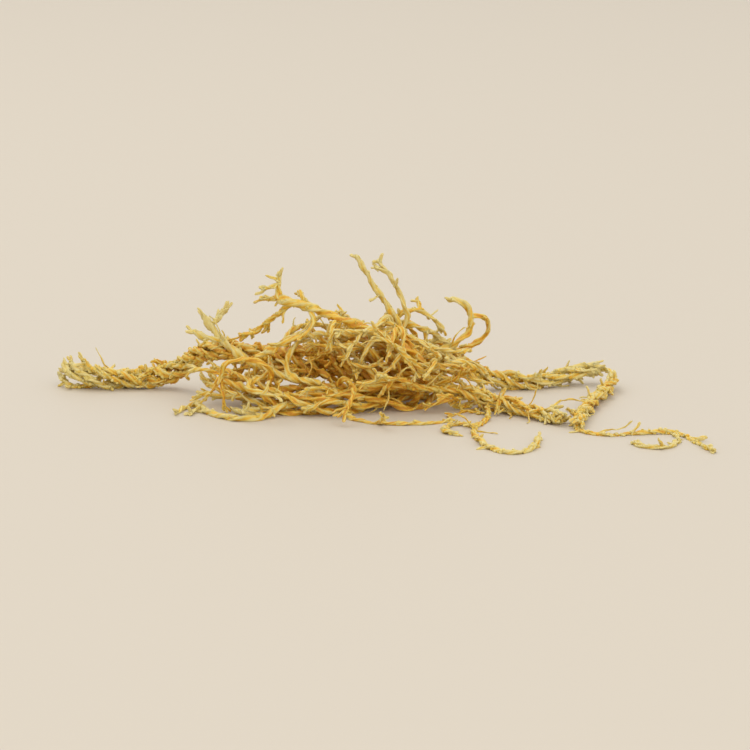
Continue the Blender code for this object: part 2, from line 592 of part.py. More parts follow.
def fused(frond, outlines, table, tuft):
    """The frond as one object: its strands joined, and flat where it lies on the table."""
    pieces = [swept(strand, outlines) for strand in frond.strands]
    others = bpy.data.collections.new("strands")
    bpy.context.scene.collection.children.link(others)
    for piece in pieces[1:]:
        others.objects.link(piece)
    body = pieces[0]
    body.name = body.data.name = frond.name
    tuft.objects.link(body)
    join = body.modifiers.new("join", "BOOLEAN")
    join.operation = "UNION"
    join.operand_type = "COLLECTION"
    join.collection = others
    join.solver = "MANIFOLD"
    applied(body)
    for piece in pieces[1:]:
        bpy.data.objects.remove(piece)
    bpy.data.collections.remove(others)
    flatten = body.modifiers.new("flatten", "BOOLEAN")
    flatten.operation = "DIFFERENCE"
    flatten.object = table
    flatten.solver = "MANIFOLD"
    applied(body)
    body.data.materials.clear()
    body.data.materials.append(frond_material(f"{frond.name}_finish", frond.colour))
    body.data.shade_smooth()
    body.data.set_sharp_from_angle(angle=math.radians(70))
    return body


def main():
    for obj in list(bpy.data.objects):
        bpy.data.objects.remove(obj)
    fronds = all_fronds()
    overlap = Tangle(fronds).settle()
    print(f"largest shortfall of a gap: {overlap:.3f} mm")
    centre(fronds)
    tuft = bpy.data.collections.new("irish_moss_tuft")
    cutters = bpy.data.collections.new("cutters")
    for collection in (tuft, cutters):
        bpy.context.scene.collection.children.link(collection)
    outlines = {sides: outline(sides) for sides in (THICK_SIDES, THIN_SIDES)}
    for helper in outlines.values():
        cutters.objects.link(helper)
    table = table_cutter(cutters)
    for frond in fronds:
        fused(frond, outlines, table, tuft)


main()
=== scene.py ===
"""Looks for a loose tuft of dried Irish moss that lies on a table.

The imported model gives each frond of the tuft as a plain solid. Here the same fronds are grown again from the
same routes and the same rules, so that they lie where the solids lie. Each strand is skinned as a twisted,
furrowed and beaded stem with finer tips. The growing is worked out in millimetres, and meshes are in metres.
"""

import json
import math
import random

import bpy
import numpy as np
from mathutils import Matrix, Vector

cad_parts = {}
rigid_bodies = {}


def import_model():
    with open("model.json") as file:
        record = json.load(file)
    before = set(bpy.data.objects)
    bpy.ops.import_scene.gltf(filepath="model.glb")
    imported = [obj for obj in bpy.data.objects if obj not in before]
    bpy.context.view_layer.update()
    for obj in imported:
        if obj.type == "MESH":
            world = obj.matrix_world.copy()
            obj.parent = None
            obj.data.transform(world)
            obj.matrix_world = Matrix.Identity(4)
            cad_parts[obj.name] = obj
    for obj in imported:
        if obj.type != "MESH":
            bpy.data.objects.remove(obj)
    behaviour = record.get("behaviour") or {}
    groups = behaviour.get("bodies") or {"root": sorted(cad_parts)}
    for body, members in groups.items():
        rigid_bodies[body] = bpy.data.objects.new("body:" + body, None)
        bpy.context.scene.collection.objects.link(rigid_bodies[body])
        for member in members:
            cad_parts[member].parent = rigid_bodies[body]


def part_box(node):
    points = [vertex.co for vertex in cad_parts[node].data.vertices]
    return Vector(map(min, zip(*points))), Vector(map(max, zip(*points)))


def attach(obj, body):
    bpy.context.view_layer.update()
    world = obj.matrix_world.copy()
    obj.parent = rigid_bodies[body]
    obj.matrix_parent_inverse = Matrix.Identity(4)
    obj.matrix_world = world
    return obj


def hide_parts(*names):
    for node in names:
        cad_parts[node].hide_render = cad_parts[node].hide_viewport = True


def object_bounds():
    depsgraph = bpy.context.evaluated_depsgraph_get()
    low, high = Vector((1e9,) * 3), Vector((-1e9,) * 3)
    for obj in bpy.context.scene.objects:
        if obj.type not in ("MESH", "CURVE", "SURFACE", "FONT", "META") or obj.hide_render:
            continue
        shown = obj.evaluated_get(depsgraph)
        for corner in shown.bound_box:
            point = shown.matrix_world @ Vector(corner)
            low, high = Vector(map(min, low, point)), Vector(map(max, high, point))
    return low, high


bl_info = {
    "name": "Dried Irish moss tuft",
    "version": (1, 0, 0),
    "blender": (4, 5, 0),
    "location": "View3D > Sidebar > Moss",
    "description": "Dresses the fronds of a tuft of dried seaweed and lights them on a pale table",
    "category": "Object",
}

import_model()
CAD_LOW, CAD_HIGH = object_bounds()

MM = 0.001

# Driving dimensions of the strands, as the solids have them
STEP = 2.3  # length of one straight run of a strand's route
STOUT = 0.52  # radius of a thick stem
WIRY = 0.42  # radius of an ordinary strand
FINE = 0.33  # radius of a thin branch
TIP = 0.29  # radius at a thin branch's end
ROOT_SHARE = 0.65  # share of its radius that a frond's first strand starts with
BRANCH_SHARE = 0.8  # the largest share of its parent's radius that a branch may have
WAVER = 0.14  # how far a wandering strand strays from its course at each step
DRAW_BACK = 0.7  # how firmly a heaped strand is drawn back into the mound
LOWEST = 0.3  # the least height of a wandering strand's middle line

# How the tangle lies
FROND_GAP = 0.34  # clear space between two fronds
STRAND_GAP = 0.12  # clear space between two strands of one frond
PRESSED = 0.12  # how far a strand that lies on the table would reach into it
SETTLING_ROUNDS = 150
SINKING = 0.5  # share of the rounds in which the slack fronds sink
EASING = 0.8  # share of the rounds in which pushes are passed on
SLACK = 0.5  # the least give of a slack frond
PUSH = 0.55  # share of an overlap that one round takes away
STIFFNESS = 0.35  # how far a push is passed on along its strand
SAG = 0.015  # how far the slack fronds sink in one round

# The mound that the slack fronds are heaped in: its middle, its half sizes, and how flat its strands lie
MOUND = np.array([-4.0, 0.8, 3.6])
MOUND_REACH = np.array([20.0, 13.0, 8.6])
FLATTER = np.array([1.0, 1.0, 0.8])

STRAW, GOLD, AMBER = "straw", "gold", "amber"

TABLE = 0.0  # the height given to points that lie on the table: the strand is then lifted to rest there

# Finer growth that the solids leave out: nibs along each strand, a fork at its end, and loose threads
GROWTH_STEP = 0.45  # length of one run of it
GROWTH_WAVER = 0.28  # how far it strays from its course at each run
NIB_RADIUS = 0.25
NIB_TIP = 0.18
NIB_REACHES = (0.6, 0.8, 1.0, 1.0, 1.9)  # what the usual length is multiplied by, drawn for each nib
NIB_ANGLES = (35, 75)  # degrees
LAST_NIB = 0.97  # share of the strand's length
FORK_RADIUS = 0.27
FORK_LENGTHS = (1.1, 1.9)
FORK_ANGLES = (16, 44)  # degrees
FORK_INSET = 0.7  # from the strand's end
THREAD_ROOT = 0.14  # radius where a thread leaves its strand
THREAD_RADIUS = 0.09  # radius at its end
THREAD_LENGTHS = (2.5, 6.5)
THREAD_ANGLE = 0.8  # radians
THREAD_SPACING = 32.0
OVERHANG = 0.4  # how far the middle lines of this growth may leave the solids' box
NUMBERS = 90  # a strand's number, which sets its noise apart from the others', is drawn below this

# The skin of the strands, as the tree's inputs and the panel start out, in metres
SPACING = 0.18 * MM
CRIMP = 0.5 * MM
BEADING = 0.85
FURROW_DEPTH = 0.2
TWIST_LENGTH = 6.5 * MM
WRINKLE = 0.22 * MM
BUMP_DENSITY = 0.25e6
BUMP_SIZE = 0.22 * MM

# The form of the skin that the panel leaves alone
RIDGES = 3.0
BREADTH = 1.1  # the outline's half width, for a radius of 1
UNEVENNESS = 0.08  # of the outline, as two low lobes
FLARE = 0.45  # how much wider a strand is at its root
FLARE_FADE = -1.1  # how fast that fades, for each radius along the strand
BLUNT = 0.08  # the least share of its radius that a rounded end keeps, squared
GRIP_LENGTH = 1.5 * MM  # length in which a branch's own bends set in
OWN_CRIMP = 1.3  # a strand's own bends, for each bend that it shares with its neighbours
GRAIN_PACE = 0.42  # how fast the lengthwise wrinkles change along a strand
FINE_WRINKLES = -0.6  # what is added to the depth of the wrinkles on the fine growth, as a share
BUMP_SIDES = 6
BUMP_RINGS = 4
BUMP_FORM = (1.0, 1.0, 0.75)
BUMP_SIZES = (0.5, 1.25)  # the range of what the usual size is multiplied by, drawn for each bump

# The heart of the heap, where painted shade makes the strands darker and more amber: its middle and its half
# sizes
HEART = (-2.0, 5.0, 3.5)
HEART_REACH = (26.0, 16.0, 11.0)
TUFT_HEIGHT = 22.0

# How dark each colour of frond is, from 0, straw, to 1, brown
TONES = {STRAW: 0.36, GOLD: 0.52, AMBER: 0.68}

# The tone at which each colour of the panel is reached
TONE_STEPS = {"straw": 0.1, "gold": 0.42, "amber": 0.72, "brown": 1.0}

# Brown flecks: the noise at which they begin and are full, and how strong they are
FLECKS = (0.12, 0.24)
FLECK_STRENGTH = 0.45

# What sets some fronds apart: how many times as dense their nibs, bumps and threads are, how many times as
# large their beads and bumps are, and what is added to their tone
PLAIN = {"nibs": 1.0, "bumps": 1.0, "threads": 1.0, "knobs": 1.0, "tone": 0.0}
APART = {
    "left_rope_frond": {"nibs": 2.2, "bumps": 4.0, "knobs": 1.35, "tone": 0.28},
    "right_arm_frond": {"nibs": 1.6, "bumps": 3.6, "threads": 1.6, "knobs": 1.25, "tone": 0.14},
    "front_loops_frond": {"nibs": 1.2, "bumps": 3.6, "threads": 4.5, "knobs": 1.25, "tone": 0.04},
    "front_mat_frond": {"bumps": 1.4, "tone": -0.14},
    "front_arc_frond": {"nibs": 0.6, "tone": -0.2},
    "antler_frond": {"tone": 0.3},
    "tall_pair_frond": {"nibs": 0.4, "bumps": 0.6, "threads": 0.5},
    "hook_frond": {"nibs": 0.5, "tone": 0.15},
    "crown_frond": {"threads": 1.6},
}

# The waxy, slightly translucent finish of the dried fronds
WAXY = {
    "Subsurface Weight": 0.45,
    "Subsurface Radius": (0.7, 0.7, 0.7),
    "Subsurface Scale": 0.4 * MM,
    "Coat Weight": 0.08,
    "Coat Roughness": 0.3,
}
ROUGHNESS = 0.55
ROUGHNESS_SPREAD = 0.4
WRINKLE_HEIGHT = 0.12 * MM  # of the finest wrinkles, which are shading alone

# The stage, in metres. The camera is far off, with a long lens, at the photograph's angle above the table
TABLE_WIDTH = 3.0
TABLE_ROUGHNESS = 0.6
AIM = (0, 0, 0.006)
CAMERA_DISTANCE = 0.65
CAMERA_ELEVATION = math.radians(11)
CAMERA_LENS = 222


class Strand:
    """One tapering strand: its centreline, its radii, and the point of its parent that it grows from."""

    def __init__(self, points, base, tip, parent=None, at=0):
        self.points = points
        self.radii = np.linspace(base, tip, len(points))
        if not parent:
            self.radii[0] *= ROOT_SHARE
        self.parent = parent
        self.at = at


def unit(vector):
    return vector / max(np.linalg.norm(vector), 1e-9)


def turned(vector, axis, angle):
    """The vector turned about the axis, which has length 1."""
    return (
        vector * math.cos(angle)
        + np.cross(axis, vector) * math.sin(angle)
        + axis * (axis @ vector) * (1 - math.cos(angle))
    )


def smooth(route):
    """Points a step apart on a smooth curve through the route's own points."""
    route = np.array(route, float)
    framed = np.vstack([2 * route[0] - route[1], route, 2 * route[-1] - route[-2]])
    shares = np.linspace(0, 1, 12, endpoint=False)[:, None]
    spans = [
        b + 0.5 * shares * (c - a + shares * (2 * a - 5 * b + 4 * c - d + shares * (3 * (b - c) + d - a)))
        for a, b, c, d in zip(framed, framed[1:], framed[2:], framed[3:])
    ]
    fine = np.vstack(spans + [route[-1:]])
    along = np.concatenate([[0.0], np.cumsum(np.linalg.norm(np.diff(fine, axis=0), axis=1))])
    marks = np.linspace(0, along[-1], max(1, round(along[-1] / STEP)) + 1)
    return np.stack([np.interp(marks, along, fine[:, k]) for k in range(3)], axis=1)


class Frond:
    """One plant: strands that grow out of each other. give is how easily its strands are pushed aside."""

    def __init__(self, name, colour, seed, give):
        self.name = name
        self.colour = colour
        self.give = give
        self.rng = random.Random(seed)
        self.strands = []

    def drawn(self):
        """A random direction."""
        return unit(np.array([self.rng.gauss(0, 1) for _ in range(3)]))

    def stem(self, route, base, tip, parent=None):
        """A strand along a given route. With a parent, it starts at the parent's nearest point."""
        at = 0
        if parent:
            at = int(np.argmin(np.linalg.norm(parent.points - np.array(route[0]), axis=1)))
            route = [parent.points[at], *route[1:]]
            base = min(base, BRANCH_SHARE * parent.radii[at])
        points = smooth(route)
        self.strands.append(Strand(points, base, tip, parent, at))
        return self.strands[-1]

    def grow(self, parent, at, heading, length, base, tip, curl, rise, heaped):
        """A strand that wanders: it turns steadily about a drawn axis, wavers, and climbs or sinks.

        A heaped strand lies rather flat, and is drawn back wherever it leaves the mound.
        """
        axis = unit(np.cross(heading, self.drawn()))
        points = [parent.points[at]]
        for _ in range(max(1, round(length / STEP))):
            heading = unit(turned(heading, axis, curl) + WAVER * self.drawn() + np.array([0, 0, rise]))
            outside = (points[-1] - MOUND) / MOUND_REACH
            if heaped:
                heading = unit(heading * FLATTER - DRAW_BACK * outside * (np.linalg.norm(outside) > 1))
            following = points[-1] + STEP * heading
            following[2] = max(following[2], LOWEST)
            points.append(following)
        base = min(base, BRANCH_SHARE * parent.radii[at])
        self.strands.append(Strand(np.array(points), base, min(tip, base), parent, at))
        return self.strands[-1]

    def sprout(self, parent, count, length, base=FINE, tip=TIP, angle=42, curl=8, rise=0.0, span=(0.15, 0.95),
               heaped=False, tips=False):
        """Side branches spread along a strand by rule. With tips, every third one ends in a small fork."""
        grown = []
        low, high = span
        for k in range(count):
            share = low + (high - low) * (k + self.rng.uniform(0.25, 0.75)) / count
            at = min(max(round(share * (len(parent.points) - 1)), 1), len(parent.points) - 1)
            along = unit(parent.points[at] - parent.points[at - 1])
            aside = unit(np.cross(along, self.drawn()))
            heading = turned(along, aside, math.radians(angle * self.rng.uniform(0.75, 1.3)))
            bend = math.radians(curl * self.rng.uniform(0.4, 1.6))
            reach = length * self.rng.uniform(0.7, 1.3)
            grown.append(self.grow(parent, at, heading, reach, base, tip, bend, rise, heaped))
        if tips:
            for strand in grown[::3]:
                self.forked_tip(strand)
        return grown

    def forked_tip(self, strand, length=4.5, angle=26):
        """Two short tips that part at the strand's end."""
        along = unit(strand.points[-1] - strand.points[-2])
        aside = unit(np.cross(along, self.drawn()))
        for side in (-1, 1):
            heading = turned(along, aside, math.radians(side * angle))
            base = strand.radii[-1]
            self.grow(strand, len(strand.points) - 1, heading, length, base, TIP, 0.12, 0.0, False)

    def rope(self, route, count, radius, turns, tip, parent, loose):
        """Several strands that leave the parent's end together and twist round one route.

        loose tells how wide the rope is at even marks along the route: 1 where its strands almost touch.
        """
        middle = smooth(route)
        along = np.gradient(middle, axis=0)
        along /= np.linalg.norm(along, axis=1)[:, None]
        side = unit(np.cross(along[0], np.array([0.0, 0.0, 1.0])))
        shares = np.linspace(0, 1, len(middle))
        offset = (radius + 0.5 * STRAND_GAP) / math.sin(math.pi / count)
        width = offset * np.interp(shares, np.linspace(0, 1, len(loose)), loose)
        width *= np.minimum(1, np.arange(len(middle)) / 1.5)
        routes = [[] for _ in range(count)]
        for share, point, ahead, wide in zip(shares, middle, along, width):
            side = unit(side - ahead * (ahead @ side))
            for k, points in enumerate(routes):
                angle = 2 * math.pi * (k / count + turns * share)
                points.append(point + wide * turned(side, ahead, angle))
        twisted = [Strand(np.array(points), radius, tip, parent, len(parent.points) - 1) for points in routes]
        for strand in twisted:
            strand.points[0] = parent.points[-1]
        self.strands.extend(twisted)
        return twisted


def left_rope_frond():
    """The thick twisted arm on the left. Its strands come from deep in the heap. It rests on the table."""
    frond = Frond("left_rope_frond", GOLD, 11, 0.35)
    root = frond.stem([(6.5, 1.0, 1.6), (3.6, 1.0, 2.2), (1.0, 1.4, 3.0)], STOUT * 0.8, STOUT * 1.15)
    arm = [(1.0, 1.4, 3.0), (-3.4, 2.6, 4.9), (-8.0, 3.8, 6.0), (-13.6, 5.0, 6.5), (-18.0, 6.0, 6.8),
           (-22.4, 7.4, 7.2), (-25.4, 10.4, 6.0), (-28.0, 12.8, 3.8), (-31.4, 14.2, 2.0),
           (-36.0, 14.0, 1.6), (-40.0, 13.6, 1.6), (-43.4, 14.2, 1.9), (-45.2, 16.0, 2.6)]
    loose = (1.5, 1.4, 1.2, 0.95, 1.0, 1.25, 1.3, 1.1)
    strands = frond.rope(arm, 5, 0.46, 3.6, tip=0.4, parent=root, loose=loose)
    for strand in strands[::2]:
        frond.sprout(strand, 2, 2.4, angle=60, span=(0.66, 1.0))
    frond.sprout(strands[1], 2, 11, base=WIRY, curl=20, span=(0.05, 0.4), heaped=True)
    frond.sprout(strands[3], 2, 11, base=WIRY, curl=20, span=(0.1, 0.45), heaped=True, tips=True)
    return frond


def left_fork_frond():
    """The stout, blunt sprig that stands up at the left of the heap."""
    frond = Frond("left_fork_frond", STRAW, 23, 0.25)
    main = frond.stem([(-8.0, -2.6, 3.4), (-13.0, -1.6, 4.4), (-17.0, 0.6, 5.6), (-20.0, 2.0, 7.2),
                       (-22.2, 2.6, 8.9), (-23.7, 3.0, 10.8), (-25.2, 3.0, 13.0)], STOUT, STOUT)
    frond.stem([(-22.4, 2.6, 9.0), (-24.6, 1.2, 9.8), (-26.4, 0.2, 11.0)], WIRY, WIRY, main)
    twig = frond.stem([(-23.4, 3.0, 10.4), (-22.7, 4.0, 11.6), (-22.4, 4.2, 12.4)], FINE, FINE, main)
    frond.stem([twig.points[-1], (-21.4, 4.6, 13.2)], FINE, TIP, twig)
    low = frond.sprout(main, 3, 12, base=WIRY, angle=50, curl=22, rise=-0.1, span=(0.05, 0.55), heaped=True)
    frond.sprout(low[0], 1, 6, angle=50, curl=20)
    return frond


def antler_frond():
    """The stout stem that arches over the left of the heap, with a spray of tips like an antler."""
    frond = Frond("antler_frond", GOLD, 31, 0.2)
    main = frond.stem([(9.6, 1.0, 3.4), (6.4, 0.2, 6.4), (2.6, -0.8, 9.4), (-0.7, -1.0, 11.1),
                       (-3.6, -1.0, 12.3), (-6.5, -0.6, 13.2), (-9.3, -0.3, 14.1), (-12.2, 0.0, 15.2),
                       (-14.2, 0.0, 15.7)], WIRY, STOUT * 1.2)
    tall = frond.stem([(-13.4, 0.0, 15.5), (-14.1, 0.2, 17.4), (-14.2, 0.4, 19.6)], WIRY, TIP, main)
    frond.stem([tall.points[1], (-15.4, -0.9, 17.0), (-16.6, -1.6, 17.2)], FINE, FINE, tall)
    frond.stem([(-14.2, 0.0, 15.7), (-15.4, 1.4, 15.4), (-16.8, 2.4, 15.4)], FINE, TIP, main)
    frond.stem([(-10.8, 0.0, 14.6), (-11.4, 1.2, 16.6)], 0.38, 0.38, main)
    low = frond.stem([(-12.6, 0.0, 15.2), (-14.0, 0.8, 13.6), (-15.6, 1.6, 12.2), (-17.4, 2.2, 10.8),
                      (-19.6, 2.8, 9.8)], 0.38, FINE, main)
    frond.sprout(low, 2, 2.4, angle=60, span=(0.45, 0.9))
    side = [(-8.8, 0.0, 13.8), (-9.2, -2.0, 12.0), (-11.6, -2.9, 10.6), (-14.6, -3.2, 9.6)]
    frond.stem(side, FINE, TIP, main)
    frond.sprout(main, 3, 12, base=WIRY, span=(0.0, 0.4), curl=20, rise=-0.08, heaped=True, tips=True)
    return frond


def tall_pair_frond():
    """The two tallest strands, which stand up side by side from the crown of the heap."""
    frond = Frond("tall_pair_frond", STRAW, 47, 0.2)
    main = frond.stem([(8.0, 7.0, 2.6), (6.0, 6.0, 5.0), (4.0, 4.8, 8.4), (2.4, 3.4, 12.3),
                       (0.0, 2.2, 16.2), (-1.6, 1.2, 19.2), (-3.2, 0.2, 21.9)], STOUT, 0.36)
    other = frond.stem([(3.4, 4.2, 9.8), (4.2, 4.4, 12.4), (3.2, 4.4, 15.0), (2.2, 4.0, 17.6),
                        (0.9, 3.2, 19.2), (-0.4, 2.9, 19.8)], WIRY, FINE, main)
    frond.stem([other.points[-2], (-0.1, 3.8, 20.8)], FINE, TIP, other)
    frond.sprout(main, 4, 13, base=WIRY, span=(0.0, 0.42), curl=22, rise=-0.06, heaped=True, tips=True)
    return frond


def hook_frond():
    """The strand at the right of the crown that curls back over itself, with a closed loop beside it."""
    frond = Frond("hook_frond", GOLD, 53, 0.2)
    main = frond.stem([(-3.0, 2.0, 2.2), (1.5, 3.6, 3.6), (6.0, 5.2, 6.0), (9.4, 6.6, 7.6),
                       (11.6, 7.0, 9.0), (12.9, 7.0, 11.1), (12.7, 7.0, 13.0), (11.4, 7.0, 14.4),
                       (9.8, 7.0, 14.7)], STOUT, WIRY)
    round_back = [(12.8, 7.0, 11.6), (14.6, 7.8, 11.9), (15.6, 9.0, 10.4), (14.8, 9.6, 8.4),
                  (12.2, 9.8, 7.0), (8.6, 10.4, 6.2), (4.6, 11.6, 4.6), (0.6, 12.2, 3.4)]
    loop = frond.stem(round_back, 0.4, FINE, main)
    frond.sprout(loop, 2, 5, angle=45, curl=20, span=(0.65, 1.0))
    frond.sprout(main, 4, 13, base=WIRY, span=(0.0, 0.45), curl=22, heaped=True, tips=True)
    return frond


def right_arm_frond():
    """The long twisted arm to the right, which turns back at its end and runs on as one thin strand."""
    frond = Frond("right_arm_frond", GOLD, 61, 0.3)
    root = frond.stem([(-8.0, 7.0, 3.6), (-5.0, 8.2, 4.6), (-2.0, 9.0, 5.6)], STOUT, STOUT * 1.15)
    arm = [(-2.0, 9.0, 5.6), (3.0, 9.4, 6.8), (8.6, 10.4, 6.2), (12.0, 12.0, 4.3), (16.0, 13.0, 2.1),
           (20.5, 13.2, 1.1), (25.0, 15.0, 1.3), (29.0, 17.0, 1.9), (32.0, 18.0, 2.3)]
    ropes = frond.rope(arm, 4, 0.4, 2.4, tip=0.36, parent=root, loose=(1.3, 1.1, 1.0, 0.9, 1.0, 1.0, 1.0))
    frond.sprout(ropes[1], 3, 2.4, angle=60, span=(0.4, 0.95))
    frond.sprout(ropes[2], 2, 2.4, angle=60, span=(0.5, 0.95))
    turn = frond.stem([ropes[0].points[-1], (33.2, 17.4, 2.0), (33.6, 15.4, 1.6)], 0.42, 0.42, ropes[0])
    back = [(33.6, 15.4, 1.6), (33.2, 11.0, 1.1), (31.4, 4.0, 0.9), (29.4, -4.0, 0.9), (28.1, -11.0, 0.8),
            (27.8, -15.8, 0.6)]
    pair = frond.rope(back, 3, 0.38, 2.2, tip=0.34, parent=turn, loose=(1.0, 1.1, 1.0, 1.2))
    frond.sprout(pair[1], 2, 2.4, angle=60, span=(0.3, 0.95))
    runner = frond.stem([pair[0].points[-1], (28.4, -17.8, TABLE), (31.4, -19.8, TABLE),
                         (35.2, -19.0, TABLE), (38.6, -18.4, TABLE), (41.6, -19.4, TABLE),
                         (43.7, -25.0, TABLE), (45.5, -31.0, TABLE)], 0.44, 0.36, pair[0])
    frond.stem([(41.4, -19.6, TABLE), (41.2, -24.2, TABLE), (39.4, -28.0, TABLE), (36.6, -28.4, TABLE),
                (35.0, -25.2, TABLE)], 0.4, 0.36, runner)
    frond.sprout(root, 2, 12, base=WIRY, curl=20, heaped=True, tips=True)
    return frond


def front_arc_frond():
    """The smooth arc on the table in front, at the left, with a frayed end."""
    frond = Frond("front_arc_frond", STRAW, 71, 0.3)
    main = frond.stem([(2.0, -1.0, 4.0), (-3.0, -1.6, 3.4), (-7.5, -3.0, 2.2), (-11.4, -4.2, 1.2),
                       (-14.4, -6.4, 0.4), (-17.6, -9.4, TABLE), (-20.8, -8.8, TABLE), (-23.7, -5.0, TABLE),
                       (-25.8, 0.4, 0.4)], 0.48, 0.44)
    frond.stem([main.points[-1], (-27.6, -1.6, TABLE), (-28.6, -5.2, TABLE)], 0.34, TIP, main)
    frond.stem([main.points[-2], (-26.6, -5.6, TABLE)], 0.34, TIP, main)
    frond.sprout(main, 2, 13, base=0.4, span=(0.0, 0.3), angle=45, curl=22, heaped=True, tips=True)
    frond.sprout(main, 2, 8, base=0.36, span=(0.35, 0.6), angle=35, curl=20, rise=-0.05, heaped=True)
    return frond


def front_loops_frond():
    """The knobbly bundle that leaves the heap at the front right, and the loops of thin strand before it."""
    frond = Frond("front_loops_frond", GOLD, 83, 0.35)
    root = frond.stem([(1.6, -3.4, 4.6), (4.6, -3.0, 4.6), (8.6, -1.8, 3.8)], WIRY, STOUT)
    bundle = [(8.6, -1.8, 3.8), (13.6, -1.6, 2.3), (17.9, -4.0, 1.3), (22.2, -8.2, 1.1), (25.4, -12.6, 1.1)]
    ropes = frond.rope(bundle, 4, 0.38, 1.4, tip=FINE, parent=root, loose=(1.0, 1.1, 1.3))
    for strand in ropes:
        frond.sprout(strand, 2, 2.4, angle=60, span=(0.3, 1.0))
    loop = frond.stem([ropes[0].points[3], (15.4, -9.0, TABLE), (13.4, -15.4, TABLE), (13.6, -22.0, TABLE),
                       (15.4, -29.0, TABLE), (18.6, -32.0, TABLE), (21.0, -28.6, TABLE),
                       (22.2, -22.0, TABLE)], 0.42, 0.4, ropes[0])
    frond.stem([(13.4, -15.0, TABLE), (11.4, -12.6, TABLE), (9.5, -14.4, TABLE), (9.3, -18.0, TABLE),
                (11.1, -19.8, TABLE)], 0.4, 0.38, loop)
    frond.sprout(root, 2, 11, base=0.4, curl=22, heaped=True)
    return frond


def front_mat_frond():
    """The stout strands that lie side by side along the front of the heap."""
    frond = Frond("front_mat_frond", AMBER, 97, 0.45)
    root = frond.stem([(11.6, 5.0, 1.6), (9.0, 4.0, 2.2)], STOUT, STOUT * 1.1)
    band = [(9.0, 4.0, 2.2), (5.7, 1.4, 2.3), (0.7, -1.4, 2.0), (-3.2, -3.4, 1.4), (-6.6, -4.6, 1.1),
            (-11.0, -4.6, 1.1), (-16.5, -1.0, 1.5), (-20.5, 2.0, 2.1), (-24.4, 4.0, 2.9)]
    strands = frond.rope(band, 5, 0.44, 1.3, tip=FINE, parent=root, loose=(1.2, 1.5, 1.8, 1.5, 1.6, 1.8))
    for strand in strands:
        frond.sprout(strand, 1, 9, base=0.4, angle=35, curl=18, rise=-0.03, span=(0.25, 0.8), heaped=True)
    under = frond.stem([strands[0].points[7], (-4.0, -8.4, TABLE), (1.0, -12.2, TABLE), (6.6, -12.0, TABLE),
                        (10.4, -9.6, TABLE)], 0.4, TIP, strands[0])
    frond.sprout(under, 1, 5, angle=40, curl=14, rise=-0.05)
    frond.stem([strands[2].points[-4], (-24.0, -1.0, 2.0), (-26.0, -1.4, 1.8)], FINE, TIP, strands[2])
    frond.stem([strands[4].points[-3], (-24.6, 0.6, 4.8), (-26.6, 0.4, 4.6)], FINE, TIP, strands[4])
    return frond


def crown_frond():
    """The small arches and spikes along the top of the heap."""
    frond = Frond("crown_frond", GOLD, 101, 0.5)
    main = frond.stem([(-10.0, 3.0, 7.6), (-6.0, 3.6, 9.8), (-1.6, 4.4, 10.6), (3.0, 6.4, 10.8),
                       (7.0, 7.8, 9.8), (10.6, 9.6, 7.2)], WIRY, 0.4)
    frond.stem([(-6.0, 3.6, 9.8), (-5.4, 3.2, 11.8), (-5.0, 3.0, 13.9)], 0.36, TIP, main)
    small_arch = [(-4.6, 3.8, 10.0), (-3.6, 4.0, 12.0), (-1.8, 3.6, 11.8), (-0.4, 2.2, 10.0)]
    frond.stem(small_arch, 0.32, TIP, main)
    arch = frond.stem([(2.0, 6.0, 10.8), (3.8, 5.8, 12.6), (6.2, 6.2, 13.0), (8.4, 6.8, 11.6),
                       (9.6, 7.6, 9.8)], 0.36, FINE, main)
    frond.stem([arch.points[-3], (6.6, 8.0, 13.0), (5.9, 8.0, 14.4)], 0.32, TIP, arch)
    frond.sprout(main, 6, 11, base=0.36, angle=45, curl=24, heaped=True, tips=True)
    return frond


def heaped_frond(name, colour, seed, route, count, length):
    """A slack frond of the heap itself: a stem through it and curled branches that stay in it."""
    frond = Frond(name, colour, seed, 1.0)
    main = frond.stem(route, STOUT, FINE)
    sides = frond.sprout(main, count, length, base=0.42, angle=48, curl=22, heaped=True, tips=True)
    for strand in sides[1::3]:
        frond.sprout(strand, 1, 7, span=(0.4, 0.8), curl=22, heaped=True)
    return frond


def all_fronds():
    """Every frond, the ones whose place is seen first and the slack ones of the heap after them."""
    return [
        left_rope_frond(),
        left_fork_frond(),
        antler_frond(),
        tall_pair_frond(),
        hook_frond(),
        right_arm_frond(),
        front_arc_frond(),
        front_loops_frond(),
        front_mat_frond(),
        crown_frond(),
        heaped_frond("low_heap_frond", AMBER, 113,
                     [(-22.0, 1.0, 3.4), (-15.0, -1.0, 2.4), (-6.0, -1.0, 3.2), (2.0, 4.0, 2.0),
                      (8.0, 6.4, 1.6), (14.0, 5.6, 1.8), (19.0, 3.0, 1.2)],
                     8, 12),
        heaped_frond("middle_heap_frond", AMBER, 127,
                     [(-18.0, 9.0, 4.6), (-10.0, 8.0, 6.8), (-2.0, 5.4, 6.4), (5.0, 1.0, 4.8),
                      (12.0, -1.0, 4.0)],
                     7, 12),
        heaped_frond("back_heap_frond", GOLD, 131,
                     [(-19.0, 11.0, 2.4), (-10.0, 13.6, 3.6), (0.0, 14.4, 3.4), (10.0, 15.6, 2.2)],
                     6, 13),
        heaped_frond("upper_heap_frond", GOLD, 149,
                     [(-17.0, -1.0, 6.4), (-11.0, 1.4, 9.0), (-5.0, 1.0, 10.0), (1.0, 1.0, 10.0),
                      (6.0, 2.5, 8.6), (11.0, 3.0, 6.0)],
                     8, 11),
    ]


